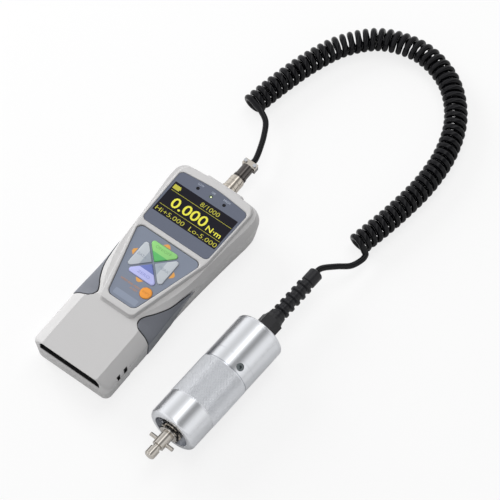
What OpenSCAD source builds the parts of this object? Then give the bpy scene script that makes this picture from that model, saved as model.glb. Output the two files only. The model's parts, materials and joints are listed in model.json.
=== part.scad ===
// Torque meter: hand-held display unit, curly cord and cylindrical torque sensor.
// X runs across the display unit, Y along it towards its connector, Z up from its underside.

/* [Display case] */
// Length of the foot, from its end to the keypad
foot_l = 57.1; // [54:0.1:62]
// Length of the keypad
keypad_l = 56.8; // [55:0.1:58]
// Strip of the bezel between the keypad and the display panel
panel_gap = 3.9; // [3.4:0.1:6]
// Length of the display panel's sides
panel_l = 46.8; // [45:0.1:52]
// Strip of the case past the display panel
head_l = 9.9; // [9:0.1:12]
// Width of the case's side beside the connector bay
foot_side = 7; // [6:0.1:9]
// Width of the case's side beside the screen window
head_side = 10; // [9:0.1:13]
// Half width at the waist between the grips
waist_hw = 32; // [31:0.5:34]
// Distance from the start of the keypad to the narrowest place
waist_from_keypad = 20.9; // [17:0.1:25]
// Height of the widest line around the case
wide_z = 22; // [21:0.25:24]
// Height of the flat front of the foot
flat_z = 30; // [29.5:0.25:31]
// Height of the raised bezel over the flat front
bezel_h = 3; // [2.5:0.25:4]
// Height of the joint between the two shells
split_z = 13.5; // [12.5:0.25:14.5]
// Wall thickness of the shells
wall = 2.4; // [2:0.1:2.8]
// Inward slope of the shoulder along the foot
foot_shoulder = 9.3; // [8:0.1:10]
// Inward slope of the shoulder at the tip of the bezel
tip_shoulder = 17.5; // [16:0.1:18.5]
// Inward slope of the shoulder along the head
head_shoulder = 2.6; // [2:0.1:3.4]
// Bulge of the head end
arch = 1.2; // [0:0.1:2]
// Half width of the raised pad round the connector
pad_hw = 18; // [12:0.5:22]
// Height of that pad over the head end
pad_h = 1.4; // [0.6:0.1:2.4]

/* [Screen] */
// Width of the screen window
screen_w = 55; // [48:0.5:55.5]
// Height of the screen window
screen_h = 27.5; // [22:0.5:28.5]
// Centre of the screen from the lower edge of the display panel
screen_up = 24; // [22:0.1:25]
// Depth of the display panel's recess
panel_depth = 0.8; // [0.6:0.05:1]
// Thickness of the display panel
panel_t = 0.5; // [0.3:0.05:0.6]
// Thickness of the screen window
window_t = 1.5; // [1.2:0.05:1.8]
// Distance of the status lights from the upper edge of the display panel
lights_down = 4.3; // [3.6:0.1:4.8]
// Distance between neighbouring status lights
lights_step = 11.5; // [8:0.5:14]
// Radius of a status light
light_r = 1.2; // [0.8:0.05:1.4]

/* [Keypad] */
// Centre of the four keys from the upper edge of the keypad
keys_down = 19.7; // [18.6:0.1:20.6]
// Distance from the centre to the outer side of a key
key_reach = 15; // [13:0.1:15.3]
// Half length of a key's outer side
key_half = 13.9; // [12:0.1:14]
// Distance from the centre to a key's inner corner
key_tip = 1.1; // [1:0.05:1.6]
// Distance of the round key from the middle of the case
round_key_x = 10.4; // [8:0.1:11]
// Centre of the round key from the lower edge of the keypad
round_key_up = 15.3; // [14:0.1:16]
// Radius of the round key
round_key_r = 4.5; // [3.6:0.1:4.6]
// Depth of the keypad's recess
keypad_depth = 1.2; // [1:0.05:1.4]
// Thickness of the keypad sheet
sheet_t = 0.35; // [0.2:0.05:0.5]
// Height of a key over the keypad sheet
key_proud = 0.6; // [0.55:0.05:0.9]
// Travel of a key
key_travel = 0.4; // [0.3:0.05:0.45]
// Gap between a key and its hole
key_gap = 0.2; // [0.15:0.01:0.22]
// How far a key's flange reaches past the key
key_flange = 0.42; // [0.35:0.01:0.45]

/* [Grips] */
// Depth of the pockets for the rubber grips
grip_depth = 1; // [0.7:0.1:1.2]
// How far the grips stand out of the case
grip_proud = 0.5; // [0.2:0.1:1]

/* [Inside the case] */
// Thickness of the circuit boards
board_t = 1.6; // [1:0.1:1.6]
// Height of the main board's underside
board_z = 17; // [16.5:0.1:17.5]
// Radius of a battery cell
cell_r = 5.25; // [4.5:0.05:5.25]
// Length of a battery cell
cell_l = 44.5; // [40:0.5:44.5]
// Radius of the case screws
screw_r = 1.25; // [1:0.05:1.4]
// Radius of the case screws' heads
screw_head_r = 2.6; // [2.2:0.05:2.7]
// Distance of the case screws from the foot end
foot_screw_y = 34; // [32:0.5:36]
// Spacing across the threaded inserts in the back
insert_dx = 30; // [24:1:34]
// Spacing along the threaded inserts in the back
insert_dy = 60; // [50:1:64]
// Radius of the hole in a threaded insert
insert_hole_r = 1.65; // [1.2:0.05:1.8]
// Outer radius of a threaded insert
insert_r = 3; // [2.6:0.1:3.2]
// Length of a threaded insert
insert_l = 6; // [4:0.25:7]

/* [Foot end] */
// Width of the input and output connector
io_w = 24; // [22:0.5:26]
// Width of the USB socket
usb_w = 8; // [7.5:0.1:9]
// Radius of the power jack
jack_r = 2; // [1.8:0.1:2.4]
// Room between the two larger sockets
socket_gap = 4; // [3:0.1:5]
// Height of the bay's floor
bay_z = 20; // [19.5:0.25:20.5]
// Thickness of the bay's roof
bay_roof = 1.1; // [0.9:0.1:1.4]
// Depth of the bay
bay_depth = 10; // [8:0.5:11]
// Distance of the strap eye from the foot end
strap_y = 17.5; // [16:0.25:19]
// Height of the strap eye
strap_z = 20; // [19.5:0.25:20.5]

/* [Connector] */
// Height of the connector's axis
con_z = 13.5; // [13:0.25:14]
// Outer radius of the coupling sleeve
sleeve_r = 5.65; // [5.5:0.05:6.2]
// Length of the coupling sleeve
sleeve_l = 10; // [9:0.5:11]
// How far the coupling sleeve draws back
sleeve_travel = 1.2; // [0.8:0.1:1.4]
// Radius of the plug's barrel
barrel_r = 4.6; // [4.5:0.05:4.8]

/* [Cord] */
// Diameter of the cord
cord_d = 4.3; // [3.6:0.1:4.4]
// Number of curls
curls = 60; // [50:1:61]
// Radius from the coil's middle to the cord's middle
curl_r = 6.5; // [5.5:0.1:6.7]

/* [Sensor] */
// Distance of the sensor's front face from the display's foot end
sensor_y = 4.1; // [0:0.1:8]
// Distance of the sensor's front face from the display's middle
sensor_x = 84.8; // [80:0.1:95]
// Turn of the sensor against the display
sensor_turn = 2.4; // [0:0.1:4]
// Radius of the sensor's smooth body
sensor_r = 19; // [18:0.1:19.1]
// Radius of the knurled sleeve over its ridges
knurl_r = 19.3; // [19.2:0.05:19.6]
// Number of knurled ridges
ridges = 100; // [80:4:120]
// Length of the front housing
front_l = 21.7; // [19:0.1:24]
// Length of the knurled sleeve
knurl_l = 35.3; // [30:0.1:38]
// Length of the middle ring
ring_l = 9; // [8.6:0.1:11]
// Length of the rear cover
rear_l = 30.5; // [28:0.5:40]
// Chamfer of the front edge
front_chamfer = 3; // [2:0.1:3.2]
// Radius of the recess in the front face
recess_r = 13.8; // [13:0.1:14.2]
// Radius of the drive shaft
shaft_r = 4.5; // [4:0.05:5]
// Length of the drive shaft outside the front face
nose_l = 23.5; // [21:0.5:28]
// Distance of the cross pin from the front face
pin_s = 9.7; // [9:0.1:10.5]
// Radius of the cross pin
pin_r = 1.45; // [1:0.05:1.6]
// Length of the cross pin
pin_l = 19.5; // [15:0.5:22]
// Radius of the shaft where it turns in the bearing
journal_r = 6; // [5.5:0.05:6.4]
// Gap between the shaft and its bearing
running = 0.05; // [0.02:0.01:0.09]
// Angle of the housing screw round the sensor
housing_screw_a = 57; // [40:1:80]
// Width of the gland nut across its flats
gland_af = 14.6; // [13:0.1:15.5]
// Number of ribs on the cord boot
boot_ribs = 5; // [3:1:5]
// Distance from rib to rib
rib_step = 6.1; // [5:0.1:6.2]
// Outer radius of the ribs
rib_r = 6; // [5.5:0.1:6.6]

/* [Hidden] */

insert_y = 105;
round_fn = 64;
small_fn = 32;
arc_n = 4;
side_n = 26;
eps = 0.01;
fit = 0.1;
// Farther out than the case at its sides, and past its ends
far = 80;
past = 20;

face_z = flat_z + bezel_h;
ceiling_z = flat_z - wall;

// Half widths of the display panel and the keypad at their ends, from the screen window between them
panel_side = 1.2;
panel_flare = 1;
keypad_step = 0.6;
keypad_foot_hw = 11.6;
panel_foot_hw = screen_w / 2 + panel_side;

// Edges of the keypad and of the display panel, each as [distance from the foot end, half width]
keypad_foot = [foot_l, keypad_foot_hw];
keypad_head = [foot_l + keypad_l, panel_foot_hw - keypad_step];
panel_foot = [keypad_head[0] + panel_gap, panel_foot_hw];
panel_head = [panel_foot[0] + panel_l, panel_foot_hw + panel_flare];
panel_peak = 3;
body_l = panel_head[0] + head_l;

screen_y = panel_foot[0] + screen_up;
lights_y = panel_head[0] - lights_down;
keys_y = keypad_head[0] - keys_down;
round_key = [round_key_x, foot_l + round_key_up];

bezel_foot_y = foot_l - 6.1;
bezel_margin = 2;
bezel_foot_margin = 4;

// The sockets stand in a row in the bay, whose half width they give
io_side = 7;
usb_gap = 1.6;
jack_side = 3.4;
bay_hw = (io_side + io_w + socket_gap + usb_w + usb_gap + 2 * jack_r + jack_side) / 2;

foot_hw = bay_hw + foot_side;
head_hw = screen_w / 2 + head_side;
foot_y = foot_l - 10.1;
waist_y = foot_l + waist_from_keypad;
head_y = panel_head[0] - 8.6;

// Where the shoulder is widest below the bezel's tip, and where it has become the head's shoulder
tip_y = foot_l - 2.1;
flare_y = keypad_head[0] - 8.9;

foot_screw = [foot_hw - 6.6, foot_screw_y];
head_screw = [head_hw - 9, panel_head[0] - 2.1];

shell_color = [0.78, 0.78, 0.77];
rubber_color = [0.36, 0.36, 0.39];
panel_color = [0.39, 0.41, 0.48];
board_color = [0.1, 0.4, 0.22];
black = [0.13, 0.13, 0.14];
steel = [0.72, 0.73, 0.75];
nickel = [0.74, 0.71, 0.66];
alu = [0.83, 0.84, 0.86];
brass = [0.76, 0.62, 0.3];

function lerp(a, b, t) = a + (b - a) * t;
function ease(t) = (1 - cos(180 * t)) / 2;
function unit(v) = v / norm(v);

// Half width of the case at its widest line
function case_w(y) =
    y <= foot_y ? foot_hw
    : y <= waist_y ? lerp(foot_hw, waist_hw, ease((y - foot_y) / (waist_y - foot_y)))
    : y <= head_y ? lerp(waist_hw, head_hw, pow((y - waist_y) / (head_y - waist_y), 1.5))
    : head_hw;

// How far the shoulder slopes inwards from the widest line up to the flat front
function shoulder(y) =
    y <= foot_y ? foot_shoulder
    : y <= tip_y ? lerp(foot_shoulder, tip_shoulder, (y - foot_y) / (tip_y - foot_y))
    : y <= flare_y ? lerp(head_shoulder, tip_shoulder, pow((flare_y - y) / (flare_y - tip_y), 2))
    : head_shoulder;

// Half width of the keypad and the display panel, run on past both ends
function pad_w(y) =
    y <= keypad_head[0]
        ? lerp(keypad_foot[1], keypad_head[1], (y - keypad_foot[0]) / (keypad_head[0] - keypad_foot[0]))
    : y <= panel_foot[0]
        ? lerp(keypad_head[1], panel_foot[1], (y - keypad_head[0]) / (panel_foot[0] - keypad_head[0]))
    : lerp(panel_foot[1], panel_head[1], (y - panel_foot[0]) / (panel_head[0] - panel_foot[0]));

function margin(y) =
    lerp(bezel_foot_margin, bezel_margin, min(1, max(0, (y - keypad_foot[0]) / (keypad_head[0] - keypad_foot[0]))));

// Right half of a closed outline: foot corner, side, head corner and arched head end
function half_outline(hw, y0, y1, r0, r1) =
    let (wf = hw(y0 + r0) - r0, wh = hw(y1 - r1) - r1)
    concat(
        [for (i = [0:arc_n]) let (a = 90 * i / arc_n - 90) [wf + r0 * cos(a), y0 + r0 + r0 * sin(a)]],
        [for (i = [1:side_n - 1]) let (y = lerp(y0 + r0, y1 - r1, i / side_n)) [hw(y), y]],
        [for (i = [0:arc_n]) let (a = 90 * i / arc_n) [wh + r1 * cos(a), y1 - r1 + r1 * sin(a)]],
        [for (f = [0.66, 0.33]) [wh * f, y1 + arch * (1 - f * f)]]);

function outline(hw, y0, y1, r0, r1) =
    let (h = half_outline(hw, y0, y1, r0, r1), n = len(h))
    concat(h, [for (i = [1:n]) [-h[n - i][0], h[n - i][1]]]);

function at_height(ring, z) = [for (p = ring) [p[0], p[1], z]];

// Closed solid through rings of as many points each, from the lowest to the highest
module loft(rings) {
    n = len(rings[0]);
    m = len(rings);
    polyhedron(
        points = [for (r = rings) each r],
        faces = concat(
            [[for (i = [0:n - 1]) i]],
            [for (k = [0:m - 2], i = [0:n - 1])
                let (j = (i + 1) % n)
                each [[k * n + i, (k + 1) * n + i, (k + 1) * n + j], [k * n + i, (k + 1) * n + j, k * n + j]]],
            [[for (i = [0:n - 1]) m * n - 1 - i]]),
        convexity = 6);
}

// Height, side inset, share of the shoulder, foot end inset, head end inset, foot and head corner radii
case_levels = [
    [0, 3.8, 0, 3.4, 3.6, 4, 9],
    [1.2, 3.1, 0, 2.4, 2.6, 5, 10],
    [7, 2, 0, 0.4, 1.2, 6, 11],
    [wide_z, 0, 0, 0, 0, 6, 11],
    [lerp(wide_z, flat_z, 0.62), 0, 0.5, 0, 0.8, 4.5, 10],
    [flat_z, 0, 1, 0, 1.8, 3, 9]];

// The case as one solid, drawn in by e all round
module case_solid(e) {
    loft([for (v = case_levels)
        at_height(
            outline(
                function (y) case_w(y) - v[1] - v[2] * shoulder(y) - e,
                v[3] + e, body_l - v[4] - e, max(1, v[5] - e), max(1, v[6] - e)),
            v[0])]);
}

function bezel_ring(z, grow, in_foot, in_head) =
    at_height(
        outline(
            function (y) min(case_w(y) - shoulder(y) - 0.2, pad_w(y) + margin(y)) + grow,
            bezel_foot_y + in_foot, body_l - in_head, 4, 8),
        z);

// The raised bezel over the head
module bezel() {
    loft([
        bezel_ring(flat_z - 0.5, 0, 0, 2.2),
        bezel_ring(flat_z + 0.6 * bezel_h, -0.1, 0.6, 2.6),
        bezel_ring(face_z, -0.7, 1.6, 3.6)]);
}

// The hollow under the bezel, wider than the boards that it holds
module bezel_hollow() {
    loft([
        bezel_ring(ceiling_z - eps, -bezel_inset, bezel_inset, bezel_inset + 2.2),
        bezel_ring(flat_z, -bezel_inset, bezel_inset, bezel_inset + 2.2)]);
}
bezel_inset = 2;

// A convex polygon with each corner rounded to its own radius
function rounded(pts, radii, k = 6) =
    let (n = len(pts))
    [for (i = [0:n - 1])
        let (
            p = pts[i],
            u = unit(pts[(i + n - 1) % n] - p),
            v = unit(pts[(i + 1) % n] - p),
            half = acos(u * v) / 2,
            r = radii[i % len(radii)],
            c = p + unit(u + v) * r / sin(half),
            from = p + u * r / tan(half) - c,
            sweep = 180 - 2 * half,
            dir = cross([from[0], from[1], 0], [c[0] - p[0], c[1] - p[1], 0])[2] > 0 ? -1 : 1)
        for (j = [0:k])
            let (a = atan2(from[1], from[0]) + dir * sweep * j / k)
            c + r * [cos(a), sin(a)]];

// Lengths above count from the foot end, and the frame's origin is amid the threaded inserts
module centred() {
    translate([0, -insert_y, 0])
        children();
}

module slab(pts, z0, z1) {
    translate([0, 0, z0])
        linear_extrude(z1 - z0)
            polygon(pts);
}

module block(x0, x1, y0, y1, z0, z1) {
    translate([x0, y0, z0])
        cube([x1 - x0, y1 - y0, z1 - z0]);
}

module post(p, r, z0, z1, fn = small_fn) {
    translate([p[0], p[1], z0])
        cylinder(h = z1 - z0, r = r, $fn = fn);
}

// A hole whose flats, not its corners, lie on the radius
module hole(p, r, z0, z1, fn = small_fn) {
    post(p, r / cos(180 / fn), z0, z1, fn);
}

// Keypad

function keypad_outline(g) =
    rounded(
        [[-keypad_foot[1] + g, keypad_foot[0] + g], [keypad_foot[1] - g, keypad_foot[0] + g],
         [keypad_head[1] - g, keypad_head[0] - g], [-keypad_head[1] + g, keypad_head[0] - g]],
        [5, 5, 4, 4]);

key_floor_z = face_z - keypad_depth;
key_top_z = key_floor_z + sheet_t + key_proud;
key_flange_t = 0.6;
key_bottom_z = flat_z - 0.1 - key_flange_t;
dome_h = 0.4;
dome_gap = 0.1;
keypad_board_z = key_bottom_z - key_travel - dome_gap - dome_h;
key_a = atan(key_half / (key_reach - key_tip));

// A key's outline on its centre line, grown by g on every side
function key_outline(g) =
    let (tip = key_tip - g / sin(key_a), half = (key_reach + g - tip) * tan(key_a))
    rounded([[0, tip], [half, key_reach + g], [-half, key_reach + g]], [0.6 + g, 2.1 + g, 2.1 + g]);

module key_place(turn) {
    translate([0, keys_y, 0])
        rotate([0, 0, turn])
            children();
}

module triangle_key(turn) {
    key_place(turn) {
        slab(key_outline(0), key_bottom_z, key_top_z);
        slab(key_outline(key_flange), key_bottom_z, key_bottom_z + key_flange_t);
    }
}

module key_power() color([0.45, 0.78, 0.4]) centred() triangle_key(0);
module key_left() color([0.74, 0.77, 0.79]) centred() triangle_key(90);
module key_zero() color([0.7, 0.72, 0.92]) centred() triangle_key(180);
module key_right() color([0.74, 0.77, 0.79]) centred() triangle_key(270);
module key_round() {
    color([0.93, 0.6, 0.25]) centred() {
        post(round_key, round_key_r, key_bottom_z, key_top_z, round_fn);
        post(round_key, round_key_r + key_flange, key_bottom_z, key_bottom_z + key_flange_t, round_fn);
    }
}

// Holes for all five keys through the shell or through the keypad sheet
module key_holes(z0, z1) {
    for (turn = [0:90:270])
        key_place(turn)
            slab(key_outline(key_gap), z0, z1);
    post(round_key, round_key_r + key_gap, z0, z1, round_fn);
}

module keypad_sheet() {
    color([0.49, 0.52, 0.58]) centred()
        difference() {
            slab(keypad_outline(fit), key_floor_z, key_floor_z + sheet_t);
            key_holes(key_floor_z - 1, face_z);
        }
}

// The keypad board hangs from the bezel's ceiling on posts
key_post_r = 1.8;
keypad_post_x = keypad_head[1] - 8.1;
keypad_post_y = keypad_head[0] - 4.9;
keypad_posts = [[0, foot_l + 7.9], [keypad_post_x, keypad_post_y], [-keypad_post_x, keypad_post_y]];
keypad_board_y = [foot_l + 5.4, keypad_head[0] - 1];
keypad_board_in = 1.2;

module keypad_board() {
    color(board_color) centred()
        slab(
            [for (c = [[0, 1], [1, 1], [1, -1], [0, -1]])
                let (y = keypad_board_y[c[0]])
                [c[1] * (pad_w(y) - keypad_board_in), y]],
            keypad_board_z - board_t, keypad_board_z);
}

module key_domes() {
    color(steel) centred() {
        for (turn = [0:90:270])
            key_place(turn)
                post([0, 0.68 * key_reach], 2.5, keypad_board_z, keypad_board_z + dome_h);
        post(round_key, 2.5, keypad_board_z, keypad_board_z + dome_h);
    }
}

// Screen

function panel_outline(g) =
    rounded(
        [[-panel_foot[1] + g, panel_foot[0] + g], [panel_foot[1] - g, panel_foot[0] + g],
         [panel_head[1] - g, panel_head[0] - g], [0, panel_head[0] + panel_peak - g],
         [-panel_head[1] + g, panel_head[0] - g]],
        [3.5, 3.5, 4, 90, 4]);

panel_z = face_z - panel_depth;
window_top_z = panel_z + panel_t;
window_z = window_top_z - window_t;
window_lip = 1.2;
glass_t = 1.6;
glass_margin = 1.5;
display_board_z = flat_z - glass_t;
display_board_t = 1.2;
boss_r = 3.2;
display_post_x = screen_w / 2 - 3;
display_post_y = [panel_foot[0] + 5.8, panel_head[0] - 3.6];
display_posts = [for (y = display_post_y, s = [-1, 1]) [s * display_post_x, y]];
display_board_hw = screen_w / 2 + 0.7;
display_board_y = [panel_foot[0] + 3.2, panel_head[0] - 1.4];
lights = [-lights_step, 0, lights_step];

module screen_block(g, z0, z1) {
    block(-screen_w / 2 - g, screen_w / 2 + g, screen_y - screen_h / 2 - g, screen_y + screen_h / 2 + g, z0, z1);
}

module display_panel() {
    color(panel_color) centred()
        difference() {
            slab(panel_outline(fit), panel_z, panel_z + panel_t);
            screen_block(fit, panel_z - 1, face_z);
            for (x = lights)
                post([x, lights_y], light_r + fit, panel_z - 1, face_z);
        }
}

module screen_window() color([0.12, 0.12, 0.15]) centred() screen_block(0, window_z, window_top_z);

module display_glass() {
    color([0.08, 0.08, 0.1]) centred()
        screen_block(min(glass_margin, pad_w(screen_y) - 0.4 - screen_w / 2), display_board_z, flat_z);
}

module display_board() {
    color(board_color) centred()
        difference() {
            block(-display_board_hw, display_board_hw, display_board_y[0], display_board_y[1],
                display_board_z - display_board_t, display_board_z);
            for (s = [-1, 1])
                post([s * head_screw[0], head_screw[1]], boss_r + 0.4, display_board_z - 2 * display_board_t, flat_z);
        }
}

module status_lights() {
    color([0.5, 0.85, 0.45]) centred()
        for (x = lights)
            post([x, lights_y], light_r, display_board_z, window_top_z + 0.2);
}

// Grips

// Each corner as distance from the middle of the case and from the start of the keypad
grip_plan = [for (p = [
    [18.5, -4.6], [18.2, -1.6], [20, 2.4], [24.2, 8.9], [28.6, 18.9], [30.8, 30.9], [32.4, 41.9], [34, 45.4],
    [46, 46.9], [46, -17.1], [36.5, -15.1], [33, -11.9], [29, -10.3], [23, -9.3], [20, -7.6]])
    [p[0], foot_l + p[1]]];
grip_z = 1.2;

module grip_zone(side) {
    intersection() {
        mirror([side < 0 ? 1 : 0, 0, 0])
            slab(grip_plan, grip_z, flat_z + 1);
        difference() {
            block(-60, 60, foot_y - 27, keypad_head[0] + 6.1, -5, flat_z + 5);
            case_solid(grip_depth);
        }
    }
}

module grip(side) {
    color(rubber_color) centred()
        difference() {
            intersection() {
                case_solid(-grip_proud);
                mirror([side < 0 ? 1 : 0, 0, 0])
                    slab(grip_plan, grip_z, flat_z - 0.05);
            }
            case_solid(grip_depth);
        }
}

module grip_right() grip(1);
module grip_left() grip(-1);

// Shells

cell_gap = 0.3;
cell_step = 2 * cell_r + cell_gap;
cells = [-1.5, -0.5, 0.5, 1.5];
cell_z = wall + 0.8 + cell_r;
cell_y = 14;
contact_t = 0.5;
contact_hw = 3;
tray_wall = 1.2;
tray_hw = 2 * cell_step + 0.4;
tray_y = [cell_y - contact_t - tray_wall, cell_y + cell_l + contact_t + tray_wall];
main_board_x = waist_hw - 6;
// From the battery tray to below the display's upper edge
main_board_y = [tray_y[1] + 4.3, panel_head[0] - 6.6];
board_posts = [for (e = [[main_board_x - 6, main_board_y[0] + 5.5], [main_board_x - 2, main_board_y[1] - 6]], s = [1, -1])
    [s * e[0], e[1]]];

case_screw_places = [for (p = [foot_screw, head_screw], s = [-1, 1]) [s * p[0], p[1]]];
screw_bottom_z = 4;
screw_tip_z = 23.5;
skin = 0.5;
screw_head_h = 2;
tube_r = 4;
board_post_r = 3;
board_screw_r = 1;
insert_places = [for (x = [-1, 1], y = [-1, 1]) [x * insert_dx / 2, insert_y + y * insert_dy / 2]];
notch_y = [28, 35];
notch_h = 3.5;
notch_x = foot_hw - 3.8;

module below_split(z = split_z) block(-far, far, -past, body_l + past, -past, z);
module above_split() block(-far, far, -past, body_l + past, split_z, flat_z + past);

module connector_pad() {
    intersection() {
        block(-pad_hw, pad_hw, body_l - 6, body_l + arch + pad_h, 4, flat_z - 5);
        translate([0, body_l + arch + pad_h - 10, 0])
            rotate([90, 0, 0])
                translate([0, 0, -10])
                    linear_extrude(20)
                        polygon(rounded([[-pad_hw, 4], [pad_hw, 4], [pad_hw - 2, flat_z - 5], [-pad_hw + 2, flat_z - 5]],
                            [3, 3, 3, 3]));
    }
}

// Axis of the connector, from outside to inside, with z = 0 on the pad's face
con_y = body_l + arch + pad_h;
module at_connector() {
    translate([0, con_y, con_z])
        rotate([-90, 0, 0])
            children();
}

thread_r = 5;
module connector_hole() {
    at_connector()
        translate([0, 0, -20])
            cylinder(h = 30, r = thread_r + fit, $fn = round_fn);
}

module back_shell() {
    color(shell_color) centred()
        difference() {
            union() {
                difference() {
                    intersection() {
                        union() {
                            case_solid(0);
                            connector_pad();
                        }
                        below_split();
                    }
                    intersection() {
                        case_solid(wall);
                        block(-far, far, -past, body_l + past, wall, split_z + 5);
                    }
                    for (side = [-1, 1])
                        grip_zone(side);
                }
                intersection() {
                    case_solid(skin);
                    union() {
                        for (p = case_screw_places)
                            post(p, tube_r, 1, split_z);
                        for (p = board_posts)
                            post(p, board_post_r, 1, board_z);
                        for (p = insert_places)
                            post(p, insert_r + 1.8, 1, insert_l + 1.5);
                    }
                }
            }
            connector_hole();
            for (p = case_screw_places) {
                hole(p, screw_r + 0.3, -1, split_z + 1);
                hole(p, screw_head_r + 0.2, -1, screw_bottom_z + screw_head_h);
            }
            for (p = board_posts)
                hole(p, board_screw_r + running, board_z - 8, board_z + 1);
            for (p = insert_places)
                hole(p, insert_r, -1, insert_l + 0.2);
            block(notch_x, 50, notch_y[0], notch_y[1], -1, notch_h);
        }
}

bay_top_z = flat_z - bay_roof;
bay_bevel = [2.5, 2.9];
bay_wall = 1.6;
socket_z = bay_z + 1.4;
io_x = -bay_hw + io_side;
usb_x = io_x + io_w + socket_gap;
io_connector_box = [io_x, io_x + io_w, socket_z, socket_z + 5];
usb_box = [usb_x, usb_x + usb_w, socket_z, socket_z + 3];
jack_x = usb_x + usb_w + usb_gap + jack_r;
jack_z = socket_z + 2.2;
socket_y = 3;
io_board_y = bay_depth + 14;

// The bay's mouth, grown by g all round, from y0 to y1
module bay_block(g, y0, y1) {
    translate([0, y1, 0])
        rotate([90, 0, 0])
            linear_extrude(y1 - y0)
                polygon([
                    [-bay_hw - g, bay_z - g], [bay_hw + g, bay_z - g], [bay_hw + g, bay_top_z - bay_bevel[1]],
                    [bay_hw + g - bay_bevel[0], bay_top_z + g], [-bay_hw - g + bay_bevel[0], bay_top_z + g],
                    [-bay_hw - g, bay_top_z - bay_bevel[1]]]);
}

module strap_eye_cut() {
    block(foot_hw - 4.6, foot_hw - 2, strap_y - 5.5, strap_y + 5.5, strap_z - 1.8, strap_z + 1.8);
    for (d = [-1, 1])
        block(foot_hw - 4.6, foot_hw + 5, strap_y + d * 4 - 1.5, strap_y + d * 4 + 1.5, strap_z - 1.8, strap_z + 1.8);
    block(foot_hw - 0.7, foot_hw + 5, strap_y - 5.5, strap_y + 5.5, strap_z - 1.8, strap_z + 1.8);
}

module front_shell() {
    color(shell_color) centred()
        difference() {
            union() {
                difference() {
                    union() {
                        intersection() {
                            union() {
                                case_solid(0);
                                connector_pad();
                            }
                            above_split();
                        }
                        bezel();
                    }
                    intersection() {
                        case_solid(wall);
                        block(-far, far, -past, body_l + past, split_z - 5, ceiling_z);
                    }
                    bezel_hollow();
                    for (side = [-1, 1])
                        grip_zone(side);
                }
                intersection() {
                    case_solid(skin);
                    union() {
                        for (p = case_screw_places)
                            post(p, boss_r, split_z, ceiling_z + 1);
                        bay_block(bay_wall, wall - skin, bay_depth + bay_wall);
                    }
                }
                for (p = keypad_posts)
                    post(p, key_post_r, keypad_board_z, flat_z + 0.5);
                for (p = display_posts)
                    post(p, key_post_r, display_board_z, flat_z + 0.5);
                block(foot_hw - 6, foot_hw - 2.2, strap_y - 7, strap_y + 7, strap_z - 3.2, strap_z + 3);
            }
            connector_hole();
            for (p = case_screw_places)
                hole(p, screw_r + running, split_z - 1, screw_tip_z + 0.3);
            slab(panel_outline(0), panel_z, face_z + 1);
            screen_block(fit, window_z, face_z + 1);
            screen_block(-window_lip, flat_z - 1, face_z + 1);
            for (x = lights)
                post([x, lights_y], light_r + fit, flat_z - 1, face_z + 1);
            slab(keypad_outline(0), key_floor_z, face_z + 1);
            key_holes(flat_z - 1, face_z + 1);
            bay_block(0, -5, bay_depth);
            block(io_connector_box[0] - fit, io_connector_box[1] + fit, 0, 20, io_connector_box[2], io_connector_box[3] + fit);
            block(usb_box[0] - fit, usb_box[1] + fit, 0, 20, usb_box[2], usb_box[3] + fit);
            translate([jack_x, 0, jack_z])
                rotate([-90, 0, 0])
                    cylinder(h = 20, r = jack_r + fit, $fn = small_fn);
            strap_eye_cut();
        }
}

module case_screws() {
    color(steel) centred()
        for (p = case_screw_places)
            difference() {
                union() {
                    post(p, screw_head_r, screw_bottom_z, screw_bottom_z + screw_head_h);
                    post(p, screw_r, screw_bottom_z + screw_head_h - eps, screw_tip_z);
                }
                translate([p[0], p[1], screw_bottom_z - eps])
                    cylinder(h = 1.2, r = 1.2, $fn = 6);
            }
}

module mount_inserts() {
    color(brass) centred()
        for (p = insert_places)
            difference() {
                post(p, insert_r, 0.2, insert_l + 0.2);
                post(p, insert_hole_r, 0, insert_l + 1);
            }
}

// Boards and battery

module main_board() {
    color(board_color) centred()
        difference() {
            block(-main_board_x, main_board_x, main_board_y[0], main_board_y[1], board_z, board_z + board_t);
            for (p = board_posts)
                post(p, board_screw_r + 0.2, board_z - 1, board_z + board_t + 1);
        }
}

module board_screws() {
    color(steel) centred()
        for (p = board_posts) {
            post(p, board_screw_r, board_z - 6, board_z + board_t + eps);
            post(p, 1.9, board_z + board_t, board_z + board_t + 1.4);
        }
}

// Each chip as x, distance from the board's lower edge, width, length and height
chips = [[-8, 25.5, 14, 14, 1.6], [12, 27.5, 8, 10, 1.8], [-14, 53.5, 10, 16, 2], [8, 55.5, 12, 8, 1.6], [0, 77.5, 18, 7, 4]];

module board_chips() {
    color(black) centred()
        for (c = chips)
            translate([c[0], main_board_y[0] + c[1], board_z + board_t])
                block(-c[2] / 2, c[2] / 2, -c[3] / 2, c[3] / 2, 0, c[4]);
}

module cell_bed(x, r) {
    translate([x, cell_y, cell_z])
        rotate([-90, 0, 0])
            cylinder(h = cell_l, r = r, $fn = round_fn);
}

module battery_tray() {
    color(black) centred()
        difference() {
            block(-tray_hw, tray_hw, tray_y[0], tray_y[1], wall, cell_z + 1);
            for (c = cells) {
                cell_bed(c * cell_step, cell_r + fit);
                block(c * cell_step - contact_hw - 1, c * cell_step + contact_hw + 1,
                    cell_y - contact_t, cell_y + cell_l + contact_t, cell_z - contact_hw - 1, cell_z + cell_r);
            }
        }
}

module battery_cells() {
    color([0.25, 0.5, 0.7]) centred()
        for (c = cells)
            cell_bed(c * cell_step, cell_r);
}

module battery_contacts() {
    color(nickel) centred()
        for (c = cells, y = [cell_y - contact_t, cell_y + cell_l])
            block(c * cell_step - contact_hw, c * cell_step + contact_hw, y, y + contact_t,
                cell_z - contact_hw, cell_z + contact_hw);
}

// Sockets in the foot end

io_board_t = 1.2;
module io_board() {
    color(board_color) centred()
        block(-bay_hw, bay_hw, bay_depth + bay_wall, io_board_y, usb_box[2] - io_board_t, usb_box[2]);
}

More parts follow.
